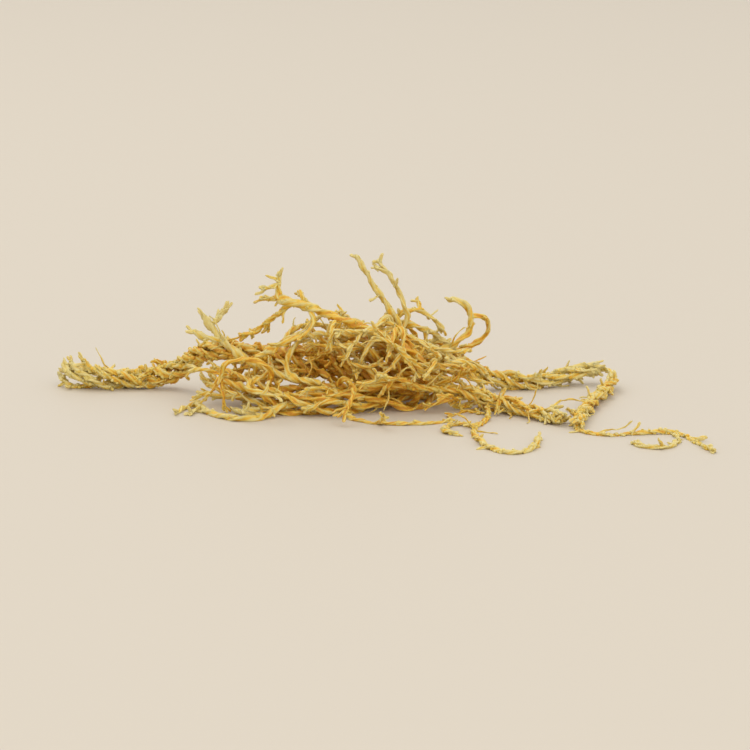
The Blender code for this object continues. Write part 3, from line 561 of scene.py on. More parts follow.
class Tangle:
    """The points of all strands in one array, so that they can be moved together, and what each may touch."""

    def __init__(self, fronds):
        self.strands = [strand for frond in fronds for strand in frond.strands]
        sizes = [len(strand.points) for strand in self.strands]
        first = np.concatenate([[0], np.cumsum(sizes)])
        place = {id(strand): first[k] for k, strand in enumerate(self.strands)}
        self.slices = [slice(first[k], first[k + 1]) for k in range(len(sizes))]
        self.points = np.vstack([strand.points for strand in self.strands])
        self.rest = self.points.copy()
        self.radii = np.concatenate([strand.radii for strand in self.strands])
        self.roots = [
            (first[k], place[id(strand.parent)] + strand.at)
            for k, strand in enumerate(self.strands)
            if strand.parent
        ]
        gives = [frond.give for frond in fronds for _ in frond.strands]
        self.give = np.concatenate([np.full(size, give) for size, give in zip(sizes, gives)])
        index = np.arange(len(self.points))
        self.before, self.after = index - 1, index + 1
        for piece in self.slices:
            self.before[piece.start], self.after[piece.stop - 1] = piece.start, piece.stop - 1
        self.runs = np.concatenate([np.arange(piece.start, piece.stop - 1) for piece in self.slices])
        self.strand_of = np.concatenate([np.full(size - 1, k) for k, size in enumerate(sizes)])
        owners = [k for k, frond in enumerate(fronds) for _ in frond.strands]
        self.frond_of = np.array(owners)[self.strand_of]
        self.gaps = self.allowed_gaps()

    def allowed_gaps(self):
        """The clear space that each pair of runs needs: none for neighbours on a strand and at a root."""
        same_frond = self.frond_of[:, None] == self.frond_of[None, :]
        gaps = np.where(same_frond, STRAND_GAP, FROND_GAP)
        near = np.abs(self.runs[:, None] - self.runs[None, :]) <= 2
        gaps[near & (self.strand_of[:, None] == self.strand_of[None, :])] = -np.inf
        number = {run: k for k, run in enumerate(self.runs)}
        for child, parent in self.roots:
            own = number[child]
            for other in range(parent - 2, parent + 2):
                if other in number and self.strand_of[number[other]] == self.strand_holding(parent):
                    gaps[own, number[other]] = gaps[number[other], own] = -np.inf
            for sibling, same in self.roots:
                if abs(same - parent) <= 1:
                    gaps[own, number[sibling]] = gaps[number[sibling], own] = -np.inf
        return gaps

    def strand_holding(self, point):
        return next(k for k, piece in enumerate(self.slices) if piece.start <= point < piece.stop)

    def crowded_pairs(self):
        """Pairs of runs that are too close, with where on each run, how much too close, and the way apart."""
        start, end = self.points[self.runs], self.points[self.runs + 1]
        radius = np.maximum(self.radii[self.runs], self.radii[self.runs + 1])
        middle, half = (start + end) / 2, np.linalg.norm(end - start, axis=1) / 2
        reach = half + radius
        apart = np.linalg.norm(middle[:, None] - middle[None, :], axis=2)
        a, b = np.nonzero(np.triu(apart < reach[:, None] + reach[None, :] + self.gaps, 1))
        along_a, along_b, between = end[a] - start[a], end[b] - start[b], start[a] - start[b]
        aa, bb, ab = (along_a ** 2).sum(1), (along_b ** 2).sum(1), (along_a * along_b).sum(1)
        da, db = (along_a * between).sum(1), (along_b * between).sum(1)
        share_a = np.clip((ab * db - bb * da) / np.maximum(aa * bb - ab * ab, 1e-9), 0, 1)
        share_b = np.clip((ab * share_a + db) / bb, 0, 1)
        share_a = np.clip((ab * share_b - da) / aa, 0, 1)
        way = between + share_a[:, None] * along_a - share_b[:, None] * along_b
        distance = np.linalg.norm(way, axis=1)
        short = radius[a] + radius[b] + self.gaps[a, b] - distance
        crowded = short > 0
        way = np.where(distance[:, None] > 1e-6, way / np.maximum(distance, 1e-6)[:, None], [0.0, 0.0, 1.0])
        return a[crowded], b[crowded], share_a[crowded], share_b[crowded], short[crowded], way[crowded]

    def part(self):
        """Pushes crowded runs apart once."""
        a, b, share_a, share_b, short, way = self.crowded_pairs()
        if not len(a):
            return
        push = np.zeros_like(self.points)
        count = np.zeros(len(self.points))
        give_a, give_b = self.give[self.runs[a]], self.give[self.runs[b]]
        for run, share, give, sign in ((a, share_a, give_a, 1), (b, share_b, give_b, -1)):
            step = sign * (PUSH * short * give / (give_a + give_b))[:, None] * way
            for point, weight in ((self.runs[run], 1 - share), (self.runs[run] + 1, share)):
                np.add.at(push, point, 2 * weight[:, None] * step)
                np.add.at(count, point, weight)
        for child, parent in self.roots:
            push[parent] += push[child]
            count[parent] += count[child]
        self.points += push / np.maximum(count, 1)[:, None]

    def ease(self):
        """Passes each push on along its strand, so that the strand bends and doesn't kink."""
        shift = self.points - self.rest
        mean = (shift[self.before] + shift[self.after]) / 2
        self.points += STIFFNESS * (mean - shift)

    def lay_down(self):
        """Keeps every strand on the table or above it, and every branch on its parent."""
        self.points[:, 2] = np.maximum(self.points[:, 2], self.radii - PRESSED)
        for child, parent in self.roots:
            self.points[child] = self.points[parent]

    def settle(self):
        """Lets the slack fronds sink and parts whatever touches, and last of all only parts."""
        slack = self.give >= SLACK
        for turn in range(SETTLING_ROUNDS):
            if turn < SINKING * SETTLING_ROUNDS:
                self.points[slack, 2] -= SAG
            self.part()
            if turn < EASING * SETTLING_ROUNDS:
                self.ease()
            self.lay_down()
        for strand, piece in zip(self.strands, self.slices):
            strand.points = self.points[piece]


def centre(fronds):
    """Moves the tuft so that the middle of its box is over the origin, as the solids' is."""
    strands = [strand for frond in fronds for strand in frond.strands]
    lows = np.min([(s.points - s.radii[:, None]).min(0) for s in strands], axis=0)
    highs = np.max([(s.points + s.radii[:, None]).max(0) for s in strands], axis=0)
    shift = (lows + highs) / 2
    shift[2] = 0
    for strand in strands:
        strand.points = strand.points - shift


TUFT = {}  # the settled fronds by name, grown once and used by every operator


def frond_of_tuft(name):
    """A settled frond, which must lie where its solid lies."""
    if not TUFT:
        fronds = all_fronds()
        Tangle(fronds).settle()
        centre(fronds)
        TUFT.update({frond.name: frond for frond in fronds})
    frond = TUFT[name]
    low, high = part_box(name)
    points = np.vstack([strand.points for strand in frond.strands]) * MM
    if (points.min(0) < np.array(low) - MM).any() or (points.max(0) > np.array(high) + MM).any():
        raise RuntimeError(f"{name} doesn't lie where its solid lies")
    return frond


def traits(name):
    """What a frond's fine growth, skin and tone are like, beside those of a plain one."""
    return {**PLAIN, **APART.get(name, {})}


def place_on(strand, share):
    """The point, the direction and the radius at that share of the strand's length."""
    place = share * (len(strand.points) - 1)
    k = min(int(place), len(strand.points) - 2)
    rest = place - k
    point = strand.points[k] * (1 - rest) + strand.points[k + 1] * rest
    radius = strand.radii[k] * (1 - rest) + strand.radii[k + 1] * rest
    return point, unit(strand.points[k + 1] - strand.points[k]), radius


def tip_from(strand, share, length, angle, base, end, frond):
    """A short tip that leaves a strand at that angle and wavers as it grows."""
    point, along, radius = place_on(strand, share)
    heading = turned(along, unit(np.cross(along, frond.drawn())), angle)
    count = max(2, round(length / GROWTH_STEP))
    points = [point]
    for _ in range(count):
        heading = unit(heading + GROWTH_WAVER * frond.drawn())
        points.append(points[-1] + heading * length / count)
    points = np.array(points)
    points[1:, 2] = np.maximum(points[1:, 2], end)
    return Strand(points, min(base, BRANCH_SHARE * radius), end, strand)


def nibs_along(frond, strand, length, sizes):
    """The short side tips all along a strand."""
    rng = frond.rng
    spacing = sizes.nib_spacing / MM / traits(frond.name)["nibs"]
    for k in range(round(length / spacing)):
        share = (k + rng.uniform(0.2, 0.9)) * spacing / length
        reach = sizes.nib_length / MM * rng.choice(NIB_REACHES) * rng.uniform(0.8, 1.2)
        angle = math.radians(rng.uniform(*NIB_ANGLES))
        base = NIB_RADIUS * rng.uniform(0.85, 1.15)
        yield tip_from(strand, min(share, LAST_NIB), reach, angle, base, NIB_TIP, frond)


def fork_at_end(frond, strand, length):
    """The two tips that part just before a strand's end."""
    share = 1 - FORK_INSET / length
    for side in (1, -1):
        angle = side * math.radians(frond.rng.uniform(*FORK_ANGLES))
        reach = frond.rng.uniform(*FORK_LENGTHS)
        yield tip_from(strand, share, reach, angle, FORK_RADIUS, NIB_TIP, frond)


def threads_along(frond, strand, length):
    """The loose threads that leave a strand here and there."""
    rng = frond.rng
    count = int(length / THREAD_SPACING * traits(frond.name)["threads"] + rng.random())
    for _ in range(count):
        reach = rng.uniform(*THREAD_LENGTHS)
        share = rng.uniform(0.1, 0.95)
        yield tip_from(strand, share, reach, THREAD_ANGLE, THREAD_ROOT, THREAD_RADIUS, frond)


def inside_box(strand):
    """True if the strand stays within the solids' box, or nearly so."""
    low, high = np.array(CAD_LOW) / MM, np.array(CAD_HIGH) / MM
    return (strand.points > low - OVERHANG).all() and (strand.points < high + OVERHANG).all()


def fine_growth(frond, sizes):
    """The small growth that the solids leave out, as strands of its own."""
    grown = []
    for strand in frond.strands:
        length = np.linalg.norm(np.diff(strand.points, axis=0), axis=1).sum()
        grown.extend(nibs_along(frond, strand, length, sizes))
        grown.extend(fork_at_end(frond, strand, length))
        grown.extend(threads_along(frond, strand, length))
    return [strand for strand in grown if inside_box(strand)]


def skeleton(frond, sizes):
    """A mesh of one chain of edges for each strand, with what its skin and its colour need at each point."""
    fine = fine_growth(frond, sizes)
    strands = [(strand, 0.0) for strand in frond.strands] + [(strand, 1.0) for strand in fine]
    points, edges = [], []
    columns = {key: [] for key in ("thickness", "share", "tint", "fine", "rooted", "number")}
    for strand, is_fine in strands:
        first, count = len(points), len(strand.points)
        points.extend((strand.points * MM).tolist())
        edges.extend((k, k + 1) for k in range(first, first + count - 1))
        columns["thickness"].extend(strand.radii * MM)
        columns["share"].extend(np.linspace(0, 1, count))
        columns["tint"].extend([frond.rng.random()] * count)
        columns["fine"].extend([is_fine] * count)
        columns["rooted"].extend([1.0 if strand.parent else 0.0] * count)
        columns["number"].extend([frond.rng.uniform(0, NUMBERS)] * count)
    mesh = bpy.data.meshes.new(f"{frond.name}_chains")
    mesh.from_pydata(points, edges, [])
    for key, values in columns.items():
        column = mesh.attributes.new(key, "FLOAT", "POINT")
        column.data.foreach_set("value", np.array(values, dtype=np.float32))
    return mesh


class Wiring:
    """Adds nodes to a tree. An input given as a socket is linked, and any other value is set."""

    def __init__(self, tree):
        self.tree = tree
        self.column = 0

    def feed(self, socket, value):
        if isinstance(value, bpy.types.NodeSocket):
            self.tree.links.new(value, socket)
        elif value is not None:
            socket.default_value = value

    def add(self, kind, *values, named=None, **settings):
        """One node with its settings. Its inputs are fed in order by values, and by their names in named."""
        node = self.tree.nodes.new(kind)
        self.column += 1
        node.location = (190 * (self.column % 24), -260 * (self.column // 24))
        for key, value in settings.items():
            setattr(node, key, value)
        for socket, value in zip(node.inputs, values):
            self.feed(socket, value)
        for key, value in (named or {}).items():
            self.feed(node.inputs[key], value)
        return node

    def math(self, operation, a, b=None, c=None):
        return self.add("ShaderNodeMath", a, b, c, operation=operation).outputs[0]

    def vector(self, operation, a, b=None, scale=None):
        by_name = {} if scale is None else {"Scale": scale}
        return self.add("ShaderNodeVectorMath", a, b, operation=operation, named=by_name).outputs[0]

    def noise(self, place, scale, detail=1.0, colour=False):
        """Noise about 0: one value, or a vector with colour."""
        node = self.add("ShaderNodeTexNoise", place, named={"Scale": scale, "Detail": detail})
        if colour:
            return self.vector("SUBTRACT", node.outputs[1], (0.5, 0.5, 0.5))
        return self.math("SUBTRACT", node.outputs[0], 0.5)

    def remap(self, value, low, high, to_low, to_high):
        """The value from one range to another, kept inside it."""
        return self.add("ShaderNodeMapRange", value, low, high, to_low, to_high, clamp=True).outputs[0]

    def joined(self, x, y, z):
        """A vector from its three parts."""
        return self.add("ShaderNodeCombineXYZ", x, y, z).outputs[0]

    def stored(self, name, kind="FLOAT"):
        """A number or a vector that is stored at each point."""
        return self.add("GeometryNodeInputNamedAttribute", name, data_type=kind).outputs[0]

    def store(self, shape, name, value, kind="FLOAT"):
        """The shape with a value stored at each point."""
        return self.add("GeometryNodeStoreNamedAttribute", shape, True, name, value,
                        data_type=kind, domain="POINT").outputs[0]

    def position(self):
        return self.add("GeometryNodeInputPosition").outputs[0]

    def moved(self, shape, position=None, offset=None):
        """The shape with its points at a new position, or moved by an offset."""
        return self.add("GeometryNodeSetPosition", shape, True, position, offset).outputs[0]


def socket_in(tree, name, kind, default=None):
    """One named input of a node group."""
    socket = tree.interface.new_socket(name, in_out="INPUT", socket_type=kind)
    if default is not None:
        socket.default_value = default


SKIN_INPUTS = (
    ("Spacing", "NodeSocketFloat", SPACING),
    ("Sides", "NodeSocketInt", 12),
    ("Flatness", "NodeSocketFloat", 0.8),
    ("Furrow Depth", "NodeSocketFloat", FURROW_DEPTH),
    ("Twist Length", "NodeSocketFloat", TWIST_LENGTH),
    ("Crimp", "NodeSocketFloat", CRIMP),
    ("Crimp Length", "NodeSocketFloat", 2.4 * MM),
    ("Beading", "NodeSocketFloat", BEADING),
    ("Bead Length", "NodeSocketFloat", 1.5 * MM),
    ("Wrinkle", "NodeSocketFloat", WRINKLE),
    ("Wrinkle Length", "NodeSocketFloat", 0.7 * MM),
    ("Bump Density", "NodeSocketFloat", BUMP_DENSITY),
    ("Bump Size", "NodeSocketFloat", BUMP_SIZE),
    ("Seed", "NodeSocketInt", 0),
    ("Low Corner", "NodeSocketVector", (-1.0, -1.0, 0.0)),
    ("High Corner", "NodeSocketVector", (1.0, 1.0, 1.0)),
    ("Material", "NodeSocketMaterial", None),
)


def furrowed_profile(w, given):
    """The outline that is swept along each strand: flattened, with ridges. It stores where the ridges are."""
    circle = w.add("GeometryNodeCurvePrimitiveCircle", given["Sides"], named={"Radius": 1.0}, mode="RADIUS")
    place = w.position()
    parts = w.add("ShaderNodeSeparateXYZ", place).outputs
    angle = w.math("ARCTAN2", parts[1], parts[0])
    ridge = w.math("COSINE", w.math("MULTIPLY", angle, RIDGES))
    uneven = w.math("MULTIPLY", w.math("COSINE", w.math("MULTIPLY_ADD", angle, 2.0, 0.9)), UNEVENNESS)
    reach = w.math("ADD", w.math("MULTIPLY_ADD", ridge, given["Furrow Depth"], 1.0), uneven)
    flat = w.joined(BREADTH, given["Flatness"], 1.0)
    outline = w.vector("MULTIPLY", w.vector("SCALE", place, scale=reach), flat)
    marked = w.store(circle.outputs[0], "ridge", ridge)
    marked = w.store(marked, "around", place, "FLOAT_VECTOR")
    return w.moved(marked, outline)


def grain(w, around, run):
    """A place on the skin that changes fast round the strand and slowly along it, for lengthwise wrinkles."""
    return w.vector("ADD", around, w.joined(0.0, 0.0, w.math("MULTIPLY", run, GRAIN_PACE)))


def beaded_thickness(w, given, along, total):
    """The strand's radius: beaded along its length, flared at its root and rounded at its free ends."""
    thickness = w.stored("thickness")
    place = w.joined(w.math("DIVIDE", along, given["Bead Length"]), w.stored("number"), 0.0)
    beads = w.math("MULTIPLY_ADD", w.noise(place, 1.0, 1.5), given["Beading"], 1.0)
    from_root = w.math("DIVIDE", along, thickness)
    flare = w.math("MULTIPLY_ADD", w.math("EXPONENT", w.math("MULTIPLY", from_root, FLARE_FADE)), FLARE, 1.0)
    # A strand with a parent counts as far past its root, so that only a free root is rounded
    free_root = w.math("MULTIPLY_ADD", w.stored("rooted"), 10.0, from_root)
    to_end = w.math("DIVIDE", w.math("SUBTRACT", total, along), thickness)
    inside = w.math("MINIMUM", w.math("MINIMUM", free_root, to_end), 1.0)
    missing = w.math("POWER", w.math("SUBTRACT", 1.0, inside), 2.0)
    rounded = w.math("SQRT", w.math("MAXIMUM", w.math("SUBTRACT", 1.0, missing), BLUNT))
    return w.math("MULTIPLY", w.math("MULTIPLY", thickness, beads), w.math("MULTIPLY", flare, rounded))


def crimped(w, given, curve, along):
    """The centrelines with small bends: some shared by neighbours, and some of each strand's own."""
    place = w.position()
    scale = w.math("DIVIDE", 1.0, given["Crimp Length"])
    shared = w.noise(w.vector("SCALE", place, scale=scale), 0.7, 1.0, colour=True)
    shifted = w.joined(w.math("MULTIPLY", along, scale), w.stored("number"), 7.0)
    own = w.noise(shifted, 1.0, 1.0, colour=True)
    grip = w.math("SUBTRACT", 1.0, w.math("EXPONENT", w.math("DIVIDE", along, -GRIP_LENGTH)))
    own = w.vector("SCALE", own, scale=w.math("MULTIPLY", grip, OWN_CRIMP))
    offset = w.vector("SCALE", w.vector("ADD", shared, own), scale=given["Crimp"])
    return w.moved(curve, offset=offset)


def twisted(w, given, curve, along):
    """The curves turned about themselves as they run, each by its own way and pace."""
    number = w.stored("number")
    hand = w.math("SIGN", w.math("SINE", w.math("MULTIPLY", number, 7.0)))
    pace = w.math("MULTIPLY_ADD", w.math("SINE", number), 0.35, 1.0)
    turns = w.math("MULTIPLY", w.math("DIVIDE", along, given["Twist Length"]), w.math("MULTIPLY", hand, pace))
    angle = w.math("MULTIPLY_ADD", turns, 2 * math.pi, number)
    return w.add("GeometryNodeSetCurveTilt", curve, True, angle).outputs[0]


def wrinkled(w, given, mesh):
    """The skin pushed in and out by noise at two sizes."""
    place = w.position()
    normal = w.add("GeometryNodeInputNormal").outputs[0]
    scale = w.math("DIVIDE", 1.0, given["Wrinkle Length"])
    near = w.vector("SCALE", place, scale=scale)
    streaks = w.noise(grain(w, w.stored("around", "FLOAT_VECTOR"), w.stored("run")), 1.7, 1.0)
    depth = w.math("MULTIPLY_ADD", streaks, 1.2, w.math("MULTIPLY", w.noise(near, 0.8, 1.0), 0.9))
    slim = w.math("MULTIPLY_ADD", w.stored("fine"), FINE_WRINKLES, 1.0)
    depth = w.math("MULTIPLY", w.math("MULTIPLY", depth, slim), given["Wrinkle"])
    return w.moved(mesh, offset=w.vector("SCALE", normal, scale=depth))


def bumps(w, given, mesh):
    """Small round bumps on the skin of the strands, and none on the fine growth."""
    coarse = w.math("SUBTRACT", 1.0, w.stored("fine"))
    density = w.math("MULTIPLY", coarse, given["Bump Density"])
    scattered = w.add("GeometryNodeDistributePointsOnFaces", mesh, distribute_method="RANDOM",
                      named={"Density": density, "Seed": given["Seed"]})
    ball = w.add("GeometryNodeMeshUVSphere", BUMP_SIDES, BUMP_RINGS, 1.0)
    spread = w.add("FunctionNodeRandomValue", data_type="FLOAT")
    for socket, value in zip(spread.inputs[2:4], BUMP_SIZES):
        w.feed(socket, value)
    w.feed(spread.inputs["Seed"], given["Seed"])
    size = w.math("MULTIPLY", spread.outputs[1], given["Bump Size"])
    scale = w.vector("SCALE", BUMP_FORM, scale=size)
    return w.add("GeometryNodeInstanceOnPoints", scattered.outputs[0], True, ball.outputs[0],
                 named={"Rotation": scattered.outputs["Rotation"], "Scale": scale}).outputs[0]


def finished_skin(w, given, skin):
    """The skin and its bumps as one smooth mesh of one material, held inside the solids' box."""
    both = w.add("GeometryNodeJoinGeometry")
    w.feed(both.inputs[0], bumps(w, given, skin))
    w.feed(both.inputs[0], skin)
    whole = w.add("GeometryNodeRealizeInstances", both.outputs[0]).outputs[0]
    held = w.vector("MAXIMUM", w.vector("MINIMUM", w.position(), given["High Corner"]), given["Low Corner"])
    whole = w.add("GeometryNodeSetShadeSmooth", w.moved(whole, held)).outputs[0]
    return w.add("GeometryNodeSetMaterial", whole, True, given["Material"]).outputs[0]


def skin_tree():
    """The Geometry Nodes tree that turns the chains of a skeleton into twisted, furrowed, beaded strands."""
    tree = bpy.data.node_groups.get("strand skin")
    if tree:
        return tree
    tree = bpy.data.node_groups.new("strand skin", "GeometryNodeTree")
    socket_in(tree, "Geometry", "NodeSocketGeometry")
    for name, kind, default in SKIN_INPUTS:
        socket_in(tree, name, kind, default)
    tree.interface.new_socket("Geometry", in_out="OUTPUT", socket_type="NodeSocketGeometry")
    w = Wiring(tree)
    given = w.add("NodeGroupInput").outputs
    chains = w.add("GeometryNodeMeshToCurve", given["Geometry"]).outputs[0]
    smooth_line = w.add("GeometryNodeCurveSplineType", chains, True, spline_type="CATMULL_ROM").outputs[0]
    finer = w.add("GeometryNodeSetSplineResolution", smooth_line, True, 8).outputs[0]
    line = w.add("GeometryNodeResampleCurve", finer, True, named={"Length": given["Spacing"]}, mode="LENGTH")
    along = w.add("GeometryNodeSplineParameter").outputs["Length"]
    total = w.add("GeometryNodeSplineLength").outputs["Length"]
    kept = w.store(line.outputs[0], "radius_here", beaded_thickness(w, given, along, total))
    run = w.math("MULTIPLY_ADD", along, 1 / MM, w.math("MULTIPLY", w.stored("number"), 5.0))
    bent = crimped(w, given, w.store(kept, "run", run), along)
    skin = w.add("GeometryNodeCurveToMesh", twisted(w, given, bent, along), furrowed_profile(w, given),
                 named={"Scale": w.stored("radius_here"), "Fill Caps": True}).outputs[0]
    w.add("NodeGroupOutput", finished_skin(w, given, wrinkled(w, given, skin)))
    return tree


def set_inputs(modifier, values):
    """Sets a modifier's inputs by their names, before it is first evaluated."""
    sockets = {item.name: item.identifier for item in modifier.node_group.interface.items_tree
               if item.in_out == "INPUT"}
    for name, value in values.items():
        modifier[sockets[name]] = value


def plain_mesh(obj, name):
    """The object's evaluated shape as a plain mesh object of that name, in place of the object."""
    bpy.context.view_layer.update()
    mesh = bpy.data.meshes.new_from_object(obj.evaluated_get(bpy.context.evaluated_depsgraph_get()))
    mesh.name = name
    finished = bpy.data.objects.new(name, mesh)
    bpy.context.scene.collection.objects.link(finished)
    chains = obj.data
    bpy.data.objects.remove(obj)
    bpy.data.meshes.remove(chains)
    if not finished.data.polygons:
        raise RuntimeError(f"{name} came out empty")
    return finished


def tone_of(w, given, place, streaks):
    """How dark each point is, from 0, straw, to 1, brown. place is in millimetres.

    A strand has painted shade in its furrows and a painted highlight on its ridges, and painted shade near the
    heart of the heap, where the strands shade each other. It is paler towards its tip, higher up and far out.
    Its own tint, broad and small patches and lengthwise streaks come on top of that.
    """
    from_core = w.vector("DIVIDE", w.vector("SUBTRACT", place, HEART), HEART_REACH)
    outwards = w.add("ShaderNodeVectorMath", from_core, operation="LENGTH").outputs["Value"]
    # painted shade, strongest at the heart of the heap, where the strands shade each other
    heap_shade = w.math("MAXIMUM", w.math("SUBTRACT", 1.0, outwards), 0.0)
    far = w.remap(outwards, 1.0, 2.0, 0.0, 1.0)
    height = w.math("MULTIPLY", w.add("ShaderNodeSeparateXYZ", place).outputs[2], 1 / TUFT_HEIGHT)
    weights = (
        (w.math("SUBTRACT", given["Tint"], 0.5), 0.36),
        (w.noise(place, 0.16, 2.0), 1.1),  # broad patches
        (w.noise(place, 0.9, 1.0), 0.85),  # small patches
        (streaks, 1.5),
        # painted shade in the furrows and a painted highlight on the ridges
        (given["Ridge"], -0.4),
        (w.math("POWER", given["Share"], 3.0), -0.2),  # towards the tip
        (given["Fine"], -0.12),
        # painted shade near the heart of the heap
        (heap_shade, 0.3),
        (far, -0.38),
        (height, -0.3),
    )
    tone = given["Tone"]
    for amount, weight in weights:
        tone = w.math("MULTIPLY_ADD", amount, weight, tone)
    return tone


def colour_group(colours):
    """Shader node group: a dried strand's colour, with its painted shade and painted highlight, and the height
    of its finest wrinkles, from where it is.
    """
    group = bpy.data.node_groups.get("dried moss")
    if group:
        return group
    group = bpy.data.node_groups.new("dried moss", "ShaderNodeTree")
    for name, default in (("Tone", 0.5), ("Share", 0.5), ("Tint", 0.5), ("Ridge", 0.0), ("Fine", 0.0)):
        socket_in(group, name, "NodeSocketFloat", default)
    socket_in(group, "Place", "NodeSocketVector")
    socket_in(group, "Around", "NodeSocketVector")
    socket_in(group, "Run", "NodeSocketFloat")
    group.interface.new_socket("Color", in_out="OUTPUT", socket_type="NodeSocketColor")
    for name in ("Roughness", "Height"):
        group.interface.new_socket(name, in_out="OUTPUT", socket_type="NodeSocketFloat")
    w = Wiring(group)
    given = w.add("NodeGroupInput").outputs
    place = w.vector("SCALE", given["Place"], scale=1 / MM)
    streaks = w.noise(grain(w, given["Around"], given["Run"]), 2.2, 3.0)
    ramp = w.add("ShaderNodeValToRGB", tone_of(w, given, place, streaks))
    elements = ramp.color_ramp.elements
    while len(elements) < len(TONE_STEPS):
        elements.new(0.5)
    for element, (name, tone) in zip(elements, TONE_STEPS.items()):
        element.position = tone
        element.color = (*getattr(colours, name), 1)
    fleck = w.remap(w.noise(place, 2.6, 2.0), *FLECKS, 0.0, FLECK_STRENGTH)
    flecked = w.add("ShaderNodeMix", data_type="RGBA", blend_type="MIX")
    w.feed(flecked.inputs[0], fleck)
    w.feed(flecked.inputs[6], ramp.outputs[0])
    w.feed(flecked.inputs[7], (*colours.brown, 1))
    wrinkles = w.noise(place, 3.2, 3.0)
    roughness = w.math("MULTIPLY_ADD", wrinkles, ROUGHNESS_SPREAD, ROUGHNESS)
    height = w.math("MULTIPLY_ADD", wrinkles, 0.6, streaks)
    w.add("NodeGroupOutput", flecked.outputs[2], roughness, height)
    return group


def moss_material(name, tone, colours):
    """A frond's waxy, slightly translucent finish. tone goes from 0, straw, to 1, brown."""
    material = bpy.data.materials.new(name)
    material.use_nodes = True
    tree = material.node_tree
    w = Wiring(tree)
    shader = tree.nodes["Principled BSDF"]
    look = w.add("ShaderNodeGroup", node_tree=colour_group(colours))
    w.feed(look.inputs["Tone"], tone)
    for key in ("Share", "Tint", "Ridge", "Fine", "Run"):
        w.feed(look.inputs[key], w.add("ShaderNodeAttribute", attribute_name=key.lower()).outputs["Fac"])
    w.feed(look.inputs["Around"], w.add("ShaderNodeAttribute", attribute_name="around").outputs["Vector"])
    w.feed(look.inputs["Place"], w.add("ShaderNodeTexCoord").outputs["Object"])
    bump = w.add("ShaderNodeBump", named={"Strength": 0.8, "Distance": WRINKLE_HEIGHT})
    w.feed(bump.inputs["Height"], look.outputs["Height"])
    w.feed(shader.inputs["Base Color"], look.outputs["Color"])
    w.feed(shader.inputs["Roughness"], look.outputs["Roughness"])
    w.feed(shader.inputs["Normal"], bump.outputs[0])
    for key, value in WAXY.items():
        shader.inputs[key].default_value = value
    return material


def dress(context, name):
    """Makes the fine piece of one frond and puts it in the place of its solid."""
    sizes, colours = context.scene.moss_sizes, context.scene.moss_colours
    frond = frond_of_tuft(name)
    own = traits(name)
    obj = bpy.data.objects.new(f"{name}_chains", skeleton(frond, sizes))
    context.scene.collection.objects.link(obj)
    modifier = obj.modifiers.new("skin", "NODES")
    modifier.node_group = skin_tree()
    set_inputs(modifier, {
        "Spacing": sizes.spacing,
        "Crimp": sizes.crimp,
        "Beading": sizes.beading * own["knobs"],
        "Furrow Depth": sizes.furrow,
        "Twist Length": sizes.twist_length,
        "Wrinkle": sizes.wrinkle,
        "Bump Density": sizes.bump_density * own["bumps"],
        "Bump Size": sizes.bump_size * own["knobs"],
        "Seed": len(frond.strands),
        "Low Corner": tuple(CAD_LOW[:2]) + (0.0,),
        "High Corner": tuple(CAD_HIGH),
        "Material": moss_material(f"{name}_look", TONES[frond.colour] + own["tone"], colours),
    })
    piece = plain_mesh(obj, f"{name}_fine")
    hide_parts(name)
    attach(piece, "root")
    print(f"{piece.name}: {len(piece.data.polygons)} faces")


def length_property(name, description, value, least=0.0):
    """A length that the panel can change."""
    return bpy.props.FloatProperty(
        name=name, description=description, default=value, min=least,
        subtype="DISTANCE", unit="LENGTH", precision=6)


def share_property(name, description, value, most):
    """A share that the panel can change."""
    return bpy.props.FloatProperty(
        name=name, description=description, default=value, min=0.0, max=most, subtype="FACTOR")


class MossSizes(bpy.types.PropertyGroup):
    """Sizes of the fronds' skin and of their small growth."""

    spacing: length_property("Spacing", "Distance between the rings of a strand's skin", SPACING, 0.1 * MM)
    crimp: length_property("Crimp", "How far a strand's small bends leave its route", CRIMP)
    beading: share_property("Beading", "How much a strand swells and thins along its length", BEADING, 1.5)
    furrow: share_property(
        "Furrow depth", "Depth of the furrows as a share of a strand's radius", FURROW_DEPTH, 0.4)
    twist_length: length_property(
        "Twist length", "Length in which a strand turns once about itself", TWIST_LENGTH, 1.0 * MM)
    wrinkle: length_property("Wrinkle", "Depth of the uneven dents in a strand's skin", WRINKLE)
    nib_length: length_property("Nib length", "Length of the small side tips", 1.0 * MM, 0.2 * MM)
    nib_spacing: length_property(
        "Nib spacing", "Distance from one side tip of a strand to the next", 3.4 * MM, 0.5 * MM)
    bump_density: bpy.props.FloatProperty(
        name="Bump density", description="Round bumps on a square metre of skin",
        default=BUMP_DENSITY, min=0.0)
    bump_size: length_property("Bump size", "Radius of the round bumps", BUMP_SIZE)


def colour_property(name, description, value):
    """A colour that the panel can change."""
    return bpy.props.FloatVectorProperty(
        name=name, description=description, default=value, size=3, min=0.0, max=1.0, subtype="COLOR")


class MossColours(bpy.types.PropertyGroup):
    """Colours of the dried fronds and of the table, linear."""

    straw: colour_property("Straw", "Palest, thin and exposed growth", (0.71, 0.59, 0.23))
    gold: colour_property("Gold", "Most of the strands", (0.72, 0.53, 0.1))
    amber: colour_property("Amber", "Thick strands low in the heap", (0.77, 0.46, 0.03))
    brown: colour_property("Brown", "Flecks and the darkest strands", (0.62, 0.28, 0.012))
    table: colour_property("Table", "The table top", (0.6, 0.54, 0.45))


class MOSS_OT_arms(bpy.types.Operator):
    """Dress the twisted arms on the left and on the right"""

    bl_idname = "moss.arms"
    bl_label = "Twisted arms"

    def execute(self, context):
        for name in ("left_rope_frond", "right_arm_frond"):
            dress(context, name)
        return {"FINISHED"}


class MOSS_OT_sprigs(bpy.types.Operator):
    """Dress the fronds that stand up out of the heap"""

    bl_idname = "moss.sprigs"
    bl_label = "Standing sprigs"

    def execute(self, context):
        for name in ("left_fork_frond", "antler_frond", "tall_pair_frond", "hook_frond", "crown_frond"):
            dress(context, name)
        return {"FINISHED"}


